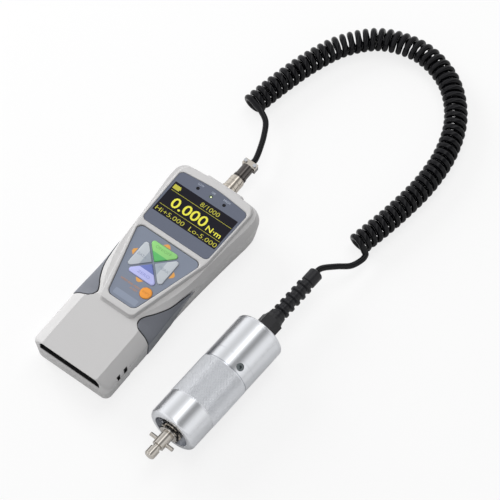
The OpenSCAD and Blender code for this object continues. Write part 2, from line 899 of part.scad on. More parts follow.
module io_connector() {
    b = io_connector_box;
    color(black) centred()
        difference() {
            block(b[0], b[1], socket_y, io_board_y - 3, b[2], b[3]);
            block(b[0] + 1, b[1] - 1, socket_y - 1, bay_depth, b[2] + 1, b[3] - 1);
        }
}

module usb_socket() {
    b = usb_box;
    color(steel) centred()
        difference() {
            block(b[0], b[1], socket_y + 2, io_board_y - 5, b[2], b[3]);
            block(b[0] + 0.5, b[1] - 0.5, socket_y, bay_depth, b[2] + 0.5, b[3] - 0.5);
        }
}

module power_jack() {
    color(steel) centred()
        translate([jack_x, socket_y, jack_z])
            rotate([-90, 0, 0])
                difference() {
                    union() {
                        cylinder(h = 14, r = jack_r, $fn = small_fn);
                        translate([0, 0, bay_depth + bay_wall - socket_y])
                            block(-2, 2, 0, jack_z - usb_box[2], 0, 8);
                    }
                    translate([0, 0, -1])
                        cylinder(h = 6, r = jack_r - 0.6, $fn = small_fn);
                }
}

// Connector, measured along its axis from the pad's face

flange_h = 4.3;
socket_r = 4.2;
socket_l = 10.5;
socket_bore = 3.4;
nut_t = 2.4;
insert_face = 4.6;
pin_tip = 9.2;
con_pins = 6;
con_pin_r = 0.35;
pin_circle = 1.8;
plug_nose_r = 3.3;
plug_nose_wall = 0.6;
plug_nose_s = flange_h + 1;
plug_shoulder_s = socket_l + 1;
sleeve_s = flange_h + 0.3;
sleeve_end_s = sleeve_s + sleeve_l;
sleeve_stop = sleeve_end_s + sleeve_travel + 0.3;
barrel_end_s = 26.8;
clamp_l = 4.6;
clamp_end_s = barrel_end_s + clamp_l;
plug_insert_s = 6.6;
plug_insert_end = 13;
cord_hole_r = cord_d / 2 + 0.1;
clamp_hw = 5.4;

module receptacle() {
    color(black) centred()
        at_connector()
            difference() {
                union() {
                    translate([0, 0, -10])
                        cylinder(h = 10 + eps, r = thread_r, $fn = round_fn);
                    cylinder(h = flange_h, r = thread_r + 1.4, $fn = round_fn);
                    cylinder(h = socket_l, r = socket_r, $fn = round_fn);
                }
                translate([0, 0, 3])
                    cylinder(h = socket_l, r = socket_bore, $fn = round_fn);
                translate([0, 0, -11])
                    cylinder(h = 12, r = 3.6, $fn = round_fn);
                con_holes(con_pin_r + 0.02, 0, 4);
            }
}

// Depth of the case's inner face behind the pad
con_inner = arch + pad_h + wall;
module receptacle_nut() {
    color(nickel) centred()
        at_connector()
            translate([0, 0, -con_inner - nut_t - 0.4])
                difference() {
                    cylinder(h = nut_t, r = 7.6, $fn = 6);
                    translate([0, 0, -1])
                        cylinder(h = nut_t + 2, r = thread_r + 0.02, $fn = round_fn);
                }
}

module receptacle_insert() {
    color([0.85, 0.84, 0.8]) centred()
        at_connector()
            translate([0, 0, 3])
                difference() {
                    cylinder(h = insert_face - 3, r = socket_bore, $fn = round_fn);
                    con_holes(con_pin_r + 0.02, -1, 5);
                }
}

module con_holes(r, z0, z1) {
    for (i = [1:con_pins])
        rotate([0, 0, 360 * i / con_pins])
            post([pin_circle, 0], r, z0, z1, 24);
}

module receptacle_pins() color(brass) centred() at_connector() con_holes(con_pin_r, 1, pin_tip);

module plug_shell() {
    color(nickel) centred()
        at_connector() {
            difference() {
                union() {
                    translate([0, 0, plug_nose_s])
                        cylinder(h = 8, r = plug_nose_r, $fn = round_fn);
                    translate([0, 0, plug_shoulder_s])
                        cylinder(h = barrel_end_s - plug_shoulder_s, r = barrel_r, $fn = round_fn);
                    translate([0, 0, sleeve_stop])
                        cylinder(h = 1.4, r = barrel_r + 0.5, $fn = round_fn);
                    block(-clamp_hw, clamp_hw, 0, 3.4, barrel_end_s - eps, clamp_end_s);
                }
                cylinder(h = plug_insert_end, r = plug_nose_r - plug_nose_wall, $fn = round_fn);
                translate([0, 0, plug_insert_end - 1])
                    cylinder(h = 40, r = cord_hole_r, $fn = round_fn);
                for (s = [-1, 1])
                    clamp_hole(s, clamp_screw_r + running);
            }
        }
}

clamp_screw_r = 0.75;
clamp_screw_x = 3.9;
clamp_gap = 0.5;
module clamp_hole(side, r) {
    translate([side * clamp_screw_x, 5, barrel_end_s + clamp_l / 2])
        rotate([90, 0, 0])
            cylinder(h = 10, r = r, $fn = small_fn);
}

module plug_insert() {
    color([0.85, 0.84, 0.8]) centred()
        at_connector()
            difference() {
                translate([0, 0, plug_insert_s])
                    cylinder(h = plug_insert_end - plug_insert_s, r = plug_nose_r - plug_nose_wall, $fn = round_fn);
                con_holes(con_pin_r + running, plug_insert_s - 1, pin_tip + 0.5);
            }
}

module coupling_sleeve() {
    color(nickel) centred()
        at_connector()
            translate([0, 0, sleeve_s])
                difference() {
                    union() {
                        cylinder(h = sleeve_l, r = sleeve_r - 0.35, $fn = round_fn);
                        for (s = [0.8, sleeve_l / 2 + 0.4])
                            translate([0, 0, s])
                                cylinder(h = sleeve_l / 2 - 1.2, r = sleeve_r, $fn = round_fn);
                    }
                    translate([0, 0, -1])
                        cylinder(h = sleeve_l + 2, r = barrel_r + running, $fn = round_fn);
                }
}

// The saddle's top side faces up, which is -y on the connector's axis
module cable_clamp() {
    color(nickel) centred()
        at_connector()
            difference() {
                block(-clamp_hw, clamp_hw, -3.2, -clamp_gap, barrel_end_s, clamp_end_s);
                translate([0, 0, barrel_end_s - 1])
                    cylinder(h = clamp_l + 2, r = cord_hole_r, $fn = round_fn);
                for (s = [-1, 1])
                    clamp_hole(s, clamp_screw_r + 0.1);
            }
}

module clamp_screws() {
    color(steel) centred()
        at_connector()
            for (s = [-1, 1])
                translate([s * clamp_screw_x, -3.2, barrel_end_s + clamp_l / 2])
                    rotate([90, 0, 0]) {
                        cylinder(h = 1.2, r = 1.35, $fn = small_fn);
                        translate([0, 0, -5.8])
                            cylinder(h = 5.8 + eps, r = clamp_screw_r, $fn = small_fn);
                    }
}

// Stations along the sensor's axis, from the front face
sensor_l = front_l + knurl_l + ring_l + rear_l;
ring_s = front_l + knurl_l;
rear_s = ring_s + ring_l;
gland_l = 12.5;
gland_dome = 3;
boot_s = sensor_l + gland_l + gland_dome;
collar_l = 10;
boot_end_s = boot_s + 5.6 + boot_ribs * rib_step + collar_l;
boot_core = 4.4;
collar_r = 5.3;

// Cord

coil_z = curl_r + cord_d / 2 + 0.1;
coil_rings = 8;
coil_first_a = 90;
coil_extra = 1;
// Middle line of the coil on the table, as x and y
coil_route = [
    [-31, 250], [-26, 278], [-19, 306], [-8, 332], [12, 353], [41, 361], [70, 353],
    [92, 332], [104, 304], [107.5, 272], [104.5, 238], [98, 202]];
// Free cord from the plug to the coil, and from the coil to the boot
lead_route = [[-2.5, 221, 13.6], [-7, 232, 13.8], [-13, 242, 14.2]];
tail_route = [[107.5, 194, 9], [104.5, 185, 10.5], [98, 176, 15.5]];

function spline_point(a, b, c, d, t) =
    0.5 * ((2 * b) + (c - a) * t + (2 * a - 5 * b + 4 * c - d) * t * t + (3 * b - a - 3 * c + d) * t * t * t);

// Smooth curve through the points, with n steps between neighbours
function spline(p, n) =
    let (m = len(p) - 1)
    concat(
        [for (i = [0:m - 1], j = [0:n - 1])
            spline_point(
                i == 0 ? 2 * p[0] - p[1] : p[i - 1], p[i], p[i + 1],
                i == m - 1 ? 2 * p[m] - p[m - 1] : p[i + 2], j / n)],
        [p[m]]);

coil_line = spline(coil_route, 24);
coil_s = [for (i = 0, s = 0; i < len(coil_line);
    s = s + (i + 1 < len(coil_line) ? norm(coil_line[i + 1] - coil_line[i]) : 0), i = i + 1) s];
coil_l = coil_s[len(coil_s) - 1];
coil_x_of = [for (i = [0:len(coil_line) - 1]) [coil_s[i], coil_line[i][0]]];
coil_y_of = [for (i = [0:len(coil_line) - 1]) [coil_s[i], coil_line[i][1]]];
function coil_mid(s) = [lookup(s, coil_x_of), lookup(s, coil_y_of), coil_z];
function coil_dir(s) = unit(coil_mid(min(coil_l, s + 1)) - coil_mid(max(0, s - 1)));

curl_n = curls * coil_rings + coil_extra;
pitch = coil_l * coil_rings / curl_n;
function curl_out(k) =
    let (t = coil_dir(coil_l * k / curl_n), a = coil_first_a + 360 * k / coil_rings)
    cos(a) * [t[1], -t[0], 0] + sin(a) * [0, 0, 1];
function curl_point(k) = coil_mid(coil_l * k / curl_n) + curl_r * curl_out(k);
function curl_dir(k) =
    let (t = coil_dir(coil_l * k / curl_n), a = coil_first_a + 360 * k / coil_rings)
    unit(2 * PI * curl_r / pitch * (cos(a) * [0, 0, 1] - sin(a) * [t[1], -t[0], 0]) + t);

curl_points = [for (k = [0:curl_n]) curl_point(k)];
coil_start = curl_points[0] - cord_d * curl_dir(0);
coil_end = curl_points[curl_n] + cord_d * curl_dir(curl_n);

// Least room between neighbouring curls, from the cord's surface to the next turn's
coil_gap = min([for (k = [0:curl_n - coil_rings - 1], d = [-1, 0, 1])
    norm(curl_points[k] - curl_points[k + coil_rings + d])]) - cord_d;
echo(coil_gap = coil_gap, pitch = pitch, coil_length = coil_l, tube_length = coil_length());
function coil_length() = sum_steps(curl_points);
function sum_steps(p) = [for (i = 0, s = 0; i < len(p); s = s + (i + 1 < len(p) ? norm(p[i + 1] - p[i]) : 0), i = i + 1) s][len(p) - 1];

// One unbroken tube through its ring centres; outs gives each ring's reference direction
module tube(path, outs, r, sides) {
    n = len(path);
    rings = [for (i = [0:n - 1])
        let (
            t = unit(path[min(n - 1, i + 1)] - path[max(0, i - 1)]),
            e2 = unit(cross(t, outs[i])),
            e1 = cross(e2, t))
        [for (j = [0:sides - 1]) let (a = 360 * j / sides) path[i] + r * (cos(a) * e1 + sin(a) * e2)]];
    polyhedron(
        points = [for (g = rings) each g],
        faces = concat(
            [for (i = [1:sides - 2]) [0, i + 1, i]],
            [for (k = [0:n - 2], i = [0:sides - 1])
                let (j = (i + 1) % sides, a = k * sides, b = (k + 1) * sides)
                each [[a + i, b + j, b + i], [a + i, a + j, b + j]]],
            [for (i = [1:sides - 2]) let (b = (n - 1) * sides) [b, b + i, b + i + 1]]),
        convexity = 10);
}

module curly_cord() {
    color(black) centred()
        tube(
            concat([coil_start], curl_points, [coil_end]),
            concat([curl_out(0)], [for (k = [0:curl_n]) curl_out(k)], [curl_out(curl_n)]),
            cord_d / 2, 6);
}

free_steps = 3;
free_sides = 8;
// Free cord: straight end, smooth curve, straight end
function free_path(first, route, last) =
    concat([first[0]], spline(concat([first[1]], route, [last[0]]), free_steps), [last[1]]);

lead_path = free_path(
    [[0, con_y + plug_insert_end, con_z], [0, con_y + clamp_end_s + cord_d, con_z]],
    lead_route,
    [coil_start - 1.5 * cord_d * curl_dir(0), coil_start]);

sensor_z = knurl_r;
sensor_dir = [sin(sensor_turn), cos(sensor_turn), 0];
function on_axis(s) = [sensor_x, sensor_y, sensor_z] + s * sensor_dir;
tail_path = free_path(
    [coil_end, coil_end + 0.6 * cord_d * curl_dir(curl_n)],
    tail_route,
    [on_axis(boot_end_s + cord_d), on_axis(sensor_l)]);

module free_tube(path) {
    color(black) centred()
        tube(path, [for (p = path) [0, 0, 1]], cord_d / 2, free_sides);
}
module cord_lead() free_tube(lead_path);
module cord_tail() free_tube(tail_path);

lead_gap = min([for (p = lead_path, k = [coil_rings:3 * coil_rings]) norm(p - curl_points[k])]) - cord_d;
tail_gap = min([for (p = tail_path, k = [curl_n - 3 * coil_rings:curl_n - coil_rings]) norm(p - curl_points[k])]) - cord_d;
echo(lead_gap = lead_gap, tail_gap = tail_gap);

// Sensor, measured along its axis from the front face to the rear

module at_sensor(s = 0) {
    translate([sensor_x, sensor_y, sensor_z])
        rotate([0, 0, -sensor_turn])
            rotate([-90, 0, 0])
                translate([0, 0, s])
                    children();
}

// A ring of revolution: outer radius, inner radius, from s0 to s1
module ring(ro, ri, s0, s1, fn = round_fn) {
    difference() {
        translate([0, 0, s0])
            cylinder(h = s1 - s0, r = ro, $fn = fn);
        translate([0, 0, s0 - 1])
            cylinder(h = s1 - s0 + 2, r = ri, $fn = fn);
    }
}

recess_depth = 6;
bearing_r = 12;
bearing_s = 9;
bearing_l = 7;
spigot_r = 16.4;
spigot_l = 8;
flange_t = 2.4;
flange_bore = 8.8;
flange_screw_pcd = 20.8;
flange_screw_r = 1;
tube_bar_r = 5;
twist_s = 34;
anchor_t = 5;

module sensor_front() {
    color(alu) centred()
        at_sensor()
            difference() {
                union() {
                    rotate_extrude($fn = 96)
                        polygon([
                            [0, 0], [sensor_r - front_chamfer, 0], [sensor_r, front_chamfer],
                            [sensor_r, front_l - 0.6], [sensor_r - 0.5, front_l - 0.6], [sensor_r - 0.5, front_l], [0, front_l]]);
                    translate([0, 0, front_l - eps])
                        cylinder(h = spigot_l, r = spigot_r, $fn = round_fn);
                }
                translate([0, 0, -1])
                    cylinder(h = recess_depth + 1, r = recess_r, $fn = round_fn);
                translate([0, 0, -1])
                    cylinder(h = 60, r = journal_r + 3.2, $fn = round_fn);
                translate([0, 0, bearing_s])
                    cylinder(h = 60, r = bearing_r, $fn = round_fn);
                for (d = [-1, 1])
                    post([d * flange_screw_pcd / 2, 0], flange_screw_r, recess_depth - 1, bearing_s - 0.2, 24);
            }
}

module front_flange() {
    color([0.25, 0.25, 0.27]) centred()
        at_sensor()
            difference() {
                ring(recess_r - fit, flange_bore, recess_depth - flange_t, recess_depth);
                for (d = [-1, 1])
                    post([d * flange_screw_pcd / 2, 0], flange_screw_r + 0.15, -1, recess_depth + 1, 24);
            }
}

module flange_screws() {
    color(steel) centred()
        at_sensor()
            for (d = [-1, 1])
                translate([d * flange_screw_pcd / 2, 0, 0])
                    difference() {
                        union() {
                            post([0, 0], 1.6, recess_depth - flange_t - 1.4, recess_depth - flange_t);
                            post([0, 0], flange_screw_r, recess_depth - flange_t - eps, bearing_s - 0.4, 24);
                        }
                        translate([0, 0, recess_depth - flange_t - 2])
                            cylinder(h = 1.4, r = 0.9, $fn = 6);
                    }
}

sleeve_bore = spigot_r;
module knurled_sleeve() {
    color(alu) centred()
        at_sensor(front_l)
            difference() {
                union() {
                    translate([0, 0, 1])
                        linear_extrude(knurl_l - 2)
                            polygon([for (i = [0:2 * ridges - 1])
                                let (r = i % 2 == 0 ? knurl_r : knurl_r - 0.45, a = 180 * i / ridges)
                                r * [cos(a), sin(a)]]);
                    cylinder(h = knurl_l, r = sensor_r - 0.5, $fn = 96);
                }
                translate([0, 0, -1])
                    cylinder(h = knurl_l + 2, r = sleeve_bore, $fn = round_fn);
            }
}

module middle_ring() {
    color(alu) centred()
        at_sensor()
            difference() {
                union() {
                    ring(sensor_r, spigot_r - 2.4, ring_s, rear_s, 96);
                    ring(spigot_r, spigot_r - 2.4, ring_s - spigot_l, ring_s + eps);
                    ring(spigot_r, spigot_r - 2.4, rear_s - eps, rear_s + 5);
                }
                housing_screw_hole(screw_m_r + running);
                at_housing_screw()
                    translate([0, 0, sensor_r - 2.6])
                        cylinder(h = 6, r = 2.9, $fn = small_fn);
            }
}

screw_m_r = 1.5;
// The housing screw's own axis points out of the sensor; -y on the sensor's axis faces up
module at_housing_screw() {
    translate([0, 0, ring_s + 0.5 * ring_l])
        rotate([0, 0, -housing_screw_a])
            rotate([0, 90, 0])
                children();
}
module housing_screw_hole(r) {
    at_housing_screw()
        translate([0, 0, 8])
            cylinder(h = 30, r = r, $fn = small_fn);
}

module housing_screw() {
    color(steel) centred()
        at_sensor()
            at_housing_screw()
                difference() {
                    union() {
                        translate([0, 0, sensor_r - 2.6])
                            cylinder(h = 2.2, r = 2.7, $fn = small_fn);
                        translate([0, 0, 9.5])
                            cylinder(h = sensor_r - 12, r = screw_m_r, $fn = small_fn);
                    }
                    translate([0, 0, sensor_r - 1.8])
                        cylinder(h = 3, r = 1.45, $fn = 6);
                }
}

rear_wall = 4;
rear_bore = spigot_r;
rear_round = 2;
board_ledge_s = rear_s + 7;
module sensor_rear() {
    color(alu) centred()
        at_sensor()
            difference() {
                rotate_extrude($fn = 96)
                    polygon(concat(
                        [[0, rear_s], [sensor_r - 0.3, rear_s], [sensor_r, rear_s + 0.3]],
                        [for (i = [0:4]) let (a = 90 * i / 4)
                            [sensor_r - rear_round + rear_round * cos(a), sensor_l - rear_round + rear_round * sin(a)]],
                        [[0, sensor_l]]));
                translate([0, 0, rear_s - 1])
                    cylinder(h = board_ledge_s - rear_s + 1, r = rear_bore, $fn = round_fn);
                translate([0, 0, rear_s - 1])
                    cylinder(h = rear_l + 1 - rear_wall, r = rear_bore - 2.5, $fn = round_fn);
                translate([0, 0, rear_s])
                    cylinder(h = rear_l - eps - 1, r = 2, $fn = small_fn);
            }
}

module amplifier_board() {
    color(board_color) centred()
        at_sensor()
            union() {
                ring(rear_bore - fit, 2.5, board_ledge_s - board_t, board_ledge_s);
                block(-8, 8, 3.5, 8, board_ledge_s - eps, board_ledge_s + 2);
                block(-6, 6, -9, -4, board_ledge_s - eps, board_ledge_s + 1.6);
            }
}

module front_bearing() {
    color(steel) centred()
        at_sensor()
            ring(bearing_r, journal_r + running, bearing_s, bearing_s + bearing_l);
}

neck_s = -nose_l + 7;
module drive_shaft() {
    color(nickel) centred()
        at_sensor()
            difference() {
                union() {
                    rotate_extrude($fn = round_fn)
                        polygon([
                            [0, -nose_l], [shaft_r - 1.4, -nose_l], [shaft_r - 0.6, -nose_l + 0.9], [shaft_r - 0.6, neck_s],
                            [shaft_r - 1.6, neck_s + 0.3], [shaft_r - 1.6, neck_s + 2.2], [shaft_r, neck_s + 2.6],
                            [shaft_r, -3], [journal_r + 1.2, -3], [journal_r + 1.2, 0.5], [journal_r + 2.2, 0.5],
                            [journal_r + 2.2, 5], [journal_r, 5], [journal_r, bearing_s + bearing_l + 1],
                            [tube_bar_r, bearing_s + bearing_l + 1], [tube_bar_r, twist_s], [0, twist_s]]);
                    for (a = [0:90:270])
                        rotate([0, 0, a + 45])
                            block(-1.6, 1.6, journal_r - 1, journal_r + 2.2, -1.5, 1);
                }
                translate([-30, 0, -pin_s])
                    rotate([0, 90, 0])
                        cylinder(h = 60, r = pin_r, $fn = small_fn);
                translate([0, 0, twist_s - 6])
                    cylinder(h = 7, r = 2.5 + running, $fn = small_fn);
            }
}

module cross_pin() {
    color(steel) centred()
        at_sensor(-pin_s)
            translate([-pin_l / 2, 0, 0])
                rotate([0, 90, 0])
                    cylinder(h = pin_l, r = pin_r, $fn = small_fn);
}

twist_gap = 0.2;
module torsion_bar() {
    color(steel) centred()
        at_sensor()
            difference() {
                union() {
                    translate([0, 0, twist_s - 5])
                        cylinder(h = 6, r = 2.5, $fn = small_fn);
                    translate([0, 0, twist_s + twist_gap])
                        cylinder(h = rear_s - twist_s - twist_gap - 1, r = tube_bar_r, $fn = round_fn);
                    translate([0, 0, rear_s - 1 - anchor_t])
                        cylinder(h = anchor_t, r = spigot_r - 2.4 - running, $fn = round_fn);
                }
                housing_screw_hole(screw_m_r + running);
                translate([0, 0, twist_s + 4])
                    cylinder(h = 60, r = 1.5, $fn = small_fn);
            }
}

gauge_t = 0.4;
module strain_gauges() {
    color([0.85, 0.6, 0.2]) centred()
        at_sensor(twist_s + 8)
            for (a = [0:90:270])
                rotate([0, 0, a])
                    difference() {
                        block(-2, 2, 0, tube_bar_r + gauge_t, 0, 7);
                        translate([0, 0, -1])
                            cylinder(h = 9, r = tube_bar_r, $fn = round_fn);
                    }
}

module gland_nut() {
    color(black) centred()
        at_sensor(sensor_l)
            difference() {
                union() {
                    cylinder(h = gland_l, r = gland_af / 2 / cos(30), $fn = 6);
                    translate([0, 0, gland_l - eps])
                        cylinder(h = gland_dome, r1 = gland_af / 2, r2 = gland_af / 2 - 0.9, $fn = round_fn);
                }
                translate([0, 0, -1])
                    cylinder(h = gland_l + gland_dome + 2, r = cord_hole_r, $fn = round_fn);
            }
}

module cord_boot() {
    rib_s0 = 5.6;
    color(black) centred()
        at_sensor(boot_s)
            difference() {
                rotate_extrude($fn = round_fn)
                    polygon(concat(
                        [[0, 0], [gland_af / 2 - 1, 0], [gland_af / 2 - 1.4, 3.6], [boot_core, 4.4]],
                        [for (i = [0:boot_ribs - 1])
                            let (s = rib_s0 + i * rib_step)
                            each [[boot_core, s], [rib_r, s + 1], [rib_r, s + 2.6], [boot_core, s + 3.6]]],
                        [[boot_core, rib_s0 + boot_ribs * rib_step - 0.6], [collar_r, rib_s0 + boot_ribs * rib_step],
                         [collar_r, boot_end_s - boot_s - 0.8], [collar_r - 0.8, boot_end_s - boot_s],
                         [0, boot_end_s - boot_s]]));
                translate([0, 0, -1])
                    cylinder(h = boot_end_s - boot_s + 2, r = cord_hole_r, $fn = round_fn);
            }
}

back_shell();
front_shell();
grip_right();
grip_left();
case_screws();
mount_inserts();
display_panel();
screen_window();
display_glass();
display_board();
status_lights();
keypad_sheet();
keypad_board();
key_domes();
key_power();
key_left();
key_zero();
key_right();
key_round();
main_board();
board_chips();
board_screws();
battery_tray();
battery_cells();
battery_contacts();
io_board();
io_connector();
usb_socket();
power_jack();
receptacle();
receptacle_nut();
receptacle_insert();
receptacle_pins();
plug_shell();
plug_insert();
coupling_sleeve();
cable_clamp();
clamp_screws();
cord_lead();
curly_cord();
cord_tail();
sensor_front();
front_flange();
flange_screws();
knurled_sleeve();
middle_ring();
sensor_rear();
housing_screw();
front_bearing();
drive_shaft();
cross_pin();
torsion_bar();
strain_gauges();
amplifier_board();
gland_nut();
cord_boot();
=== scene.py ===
# Torque meter: a hand-held display unit, its curly cord and a cylindrical torque sensor.
# Lengths are in millimetres: X across the display unit, Y from its foot end, Z up from the table.
import json
import math

import bmesh
import bpy
from mathutils import Matrix, Vector

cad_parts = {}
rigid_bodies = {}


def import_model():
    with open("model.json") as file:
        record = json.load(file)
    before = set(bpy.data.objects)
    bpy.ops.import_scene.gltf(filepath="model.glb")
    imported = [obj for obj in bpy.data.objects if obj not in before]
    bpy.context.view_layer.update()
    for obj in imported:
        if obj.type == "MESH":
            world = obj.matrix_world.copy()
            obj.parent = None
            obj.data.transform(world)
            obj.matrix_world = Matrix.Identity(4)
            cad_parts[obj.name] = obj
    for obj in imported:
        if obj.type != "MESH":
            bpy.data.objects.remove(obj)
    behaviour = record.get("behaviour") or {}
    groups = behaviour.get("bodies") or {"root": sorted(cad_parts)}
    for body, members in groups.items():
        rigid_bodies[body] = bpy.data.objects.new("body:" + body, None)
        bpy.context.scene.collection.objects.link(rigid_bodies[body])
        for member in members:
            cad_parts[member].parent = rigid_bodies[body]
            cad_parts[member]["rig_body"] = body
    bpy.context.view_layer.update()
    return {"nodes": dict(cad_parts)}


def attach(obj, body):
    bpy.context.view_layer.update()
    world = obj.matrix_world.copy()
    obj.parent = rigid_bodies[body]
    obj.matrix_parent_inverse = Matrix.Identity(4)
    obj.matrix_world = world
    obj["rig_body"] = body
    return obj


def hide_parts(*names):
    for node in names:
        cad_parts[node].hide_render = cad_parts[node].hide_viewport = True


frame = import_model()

# ---- Camera and studio --------------------------------------------------------------------------
# A long lens two metres away looks down over the foot end. The table and the room are plain
# white. Two soft boxes light the object, and strips of white card round it show in its metal.
# Places and distances in this section are in metres.
scene = bpy.context.scene
scene.view_settings.view_transform = "Standard"

camera_azimuth = math.radians(36.84)
camera_aim = Vector((0.0434, 0.0433, 0.0200))
camera_back = Vector((0.2874, -0.3836, 0.8777)).normalized()
camera_distance = 2.0
camera_lens, camera_sensor = 205.2, 36
camera_roll = math.radians(0.14)

flat_right = Vector((math.cos(camera_azimuth), math.sin(camera_azimuth), 0))
flat_up = camera_back.cross(flat_right)
picture_right = math.cos(camera_roll) * flat_right + math.sin(camera_roll) * flat_up
picture_up = math.cos(camera_roll) * flat_up - math.sin(camera_roll) * flat_right
camera_data = bpy.data.cameras.new("camera")
camera_data.lens = camera_lens
camera_data.sensor_width = camera_sensor
camera_data.clip_end = 20
camera = bpy.data.objects.new("camera", camera_data)
turn = Matrix((picture_right, picture_up, camera_back)).transposed().to_4x4()
camera.matrix_world = Matrix.Translation(camera_aim + camera_distance * camera_back) @ turn
scene.collection.objects.link(camera)
scene.camera = camera


def srgb(code):
    """A colour written as #RRGGBB, turned to the linear values that a shader takes."""
    parts = [int(code[i:i + 2], 16) / 255 for i in (1, 3, 5)]
    return [p / 12.92 if p <= 0.04045 else ((p + 0.055) / 1.055) ** 2.4 for p in parts] + [1.0]


def add(tree, kind, inputs=None, **settings):
    """Adds a node with its settings, and with its inputs set or linked."""
    node = tree.nodes.new(kind)
    for name, value in settings.items():
        setattr(node, name, value)
    for name, value in (inputs or {}).items():
        if isinstance(value, bpy.types.NodeSocket):
            tree.links.new(value, node.inputs[name])
        else:
            node.inputs[name].default_value = value
    return node


def blank_material(name):
    """A new material, and its tree with nothing in it yet."""
    made = bpy.data.materials.new(name)
    made.use_nodes = True
    made.node_tree.nodes.clear()
    return made, made.node_tree


# Table: matt white paper. The camera sees it nearly white, and it keeps the object's shadow.
table_half = 4
table_glow = 0.8  # the share of plain white in what the camera sees of the paper
paper, tree = blank_material("matt_white_paper")
table_light = add(tree, "ShaderNodeEmission", {"Color": (1, 1, 1, 1), "Strength": 1.0})
table_matt = add(tree, "ShaderNodeBsdfDiffuse", {"Color": srgb("#F4F4F4")})
rays = add(tree, "ShaderNodeLightPath")
seen = add(tree, "ShaderNodeMath", {0: rays.outputs["Is Camera Ray"], 1: table_glow}, operation="MULTIPLY")
table_mix = add(tree, "ShaderNodeMixShader", {
    0: seen.outputs[0], 1: table_matt.outputs[0], 2: table_light.outputs[0]})
add(tree, "ShaderNodeOutputMaterial", {"Surface": table_mix.outputs[0]})

table_mesh = bpy.data.meshes.new("table")
table_corners = [(x * table_half, y * table_half, 0) for x, y in ((-1, -1), (1, -1), (1, 1), (-1, 1))]
table_mesh.from_pydata(table_corners, [], [(0, 1, 2, 3)])
table_mesh.materials.append(paper)
table = bpy.data.objects.new("table", table_mesh)
scene.collection.objects.link(table)

# Room: white to the camera. Metal and light see strips of white card with dark gaps between,
# laid out by the angle round the object's length, from the left over the top to the right.
room = bpy.data.worlds.new("room")
scene.world = room
room.use_nodes = True
tree = room.node_tree
tree.nodes.clear()
way = add(tree, "ShaderNodeTexCoord")
part = add(tree, "ShaderNodeSeparateXYZ", {0: way.outputs["Generated"]})
round_angle = add(tree, "ShaderNodeMath", {0: part.outputs["X"], 1: part.outputs["Z"]}, operation="ARCTAN2")
share = add(tree, "ShaderNodeMapRange", {
    "Value": round_angle.outputs[0], "From Min": -math.pi / 2, "From Max": math.pi / 2})
strips = add(tree, "ShaderNodeValToRGB", {"Fac": share.outputs["Result"]})
strips.color_ramp.interpolation = "B_SPLINE"
# Each strip as its angle from straight up, in degrees, and its brightness
room_strips = [
    (-90, 0.95), (-74, 1.3), (-60, 1.1), (-44, 0.8), (-30, 0.74), (-16, 0.95), (-8, 1.6), (-3, 2.8), (2, 1.6),
    (8, 0.8), (14, 0.45), (24, 0.28), (34, 0.38), (44, 0.8), (56, 1.1), (75, 1.0), (90, 0.7)]
strip_peak = 4  # a ramp's colours end at 1, so they are divided by this and raised again below
matt_share = 0.5  # how bright the strips are for matt surfaces, against what metal mirrors
for i, (angle, level) in enumerate(room_strips):
    place = (angle + 90) / 180
    stops = strips.color_ramp.elements
    stop = stops[i] if i < 2 else stops.new(place)
    stop.position = place
    stop.color = [level / strip_peak] * 3 + [1]
rays = add(tree, "ShaderNodeLightPath")
power = add(tree, "ShaderNodeMapRange", {
    "Value": rays.outputs["Is Glossy Ray"], "To Min": matt_share * strip_peak, "To Max": strip_peak})
card = add(tree, "ShaderNodeBackground", {"Color": strips.outputs["Color"], "Strength": power.outputs[0]})
white = add(tree, "ShaderNodeBackground", {"Color": (1, 1, 1, 1), "Strength": 1.0})
room_mix = add(tree, "ShaderNodeMixShader", {
    0: rays.outputs["Is Camera Ray"], 1: card.outputs[0], 2: white.outputs[0]})
add(tree, "ShaderNodeOutputWorld", {"Surface": room_mix.outputs[0]})


def soft_lamp(name, place, size, power):
    """A square soft box that faces the middle of the object. Metal mirrors only the room's strips."""
    lamp_data = bpy.data.lights.new(name, "AREA")
    lamp_data.shape = "SQUARE"
    lamp_data.size = size
    lamp_data.energy = power
    lamp = bpy.data.objects.new(name, lamp_data)
    away = Vector(place) - camera_aim
    lamp.matrix_world = Matrix.Translation(place) @ away.to_track_quat("Z", "Y").to_matrix().to_4x4()
    lamp.visible_glossy = False
    scene.collection.objects.link(lamp)


soft_lamp("lamp_left", (-1.65, 0.3, 0.8), 1.0, 25)
soft_lamp("lamp_over", (-0.3, 0.9, 2.0), 1.4, 13)

# ---- Curly cord ---------------------------------------------------------------------------------
# One round cord in glossy black PVC, wound on a mandrel and set by heat into sixty curls. It
# leaves the plug, lies in a wide arch on the table and goes into the sensor's cord boot.


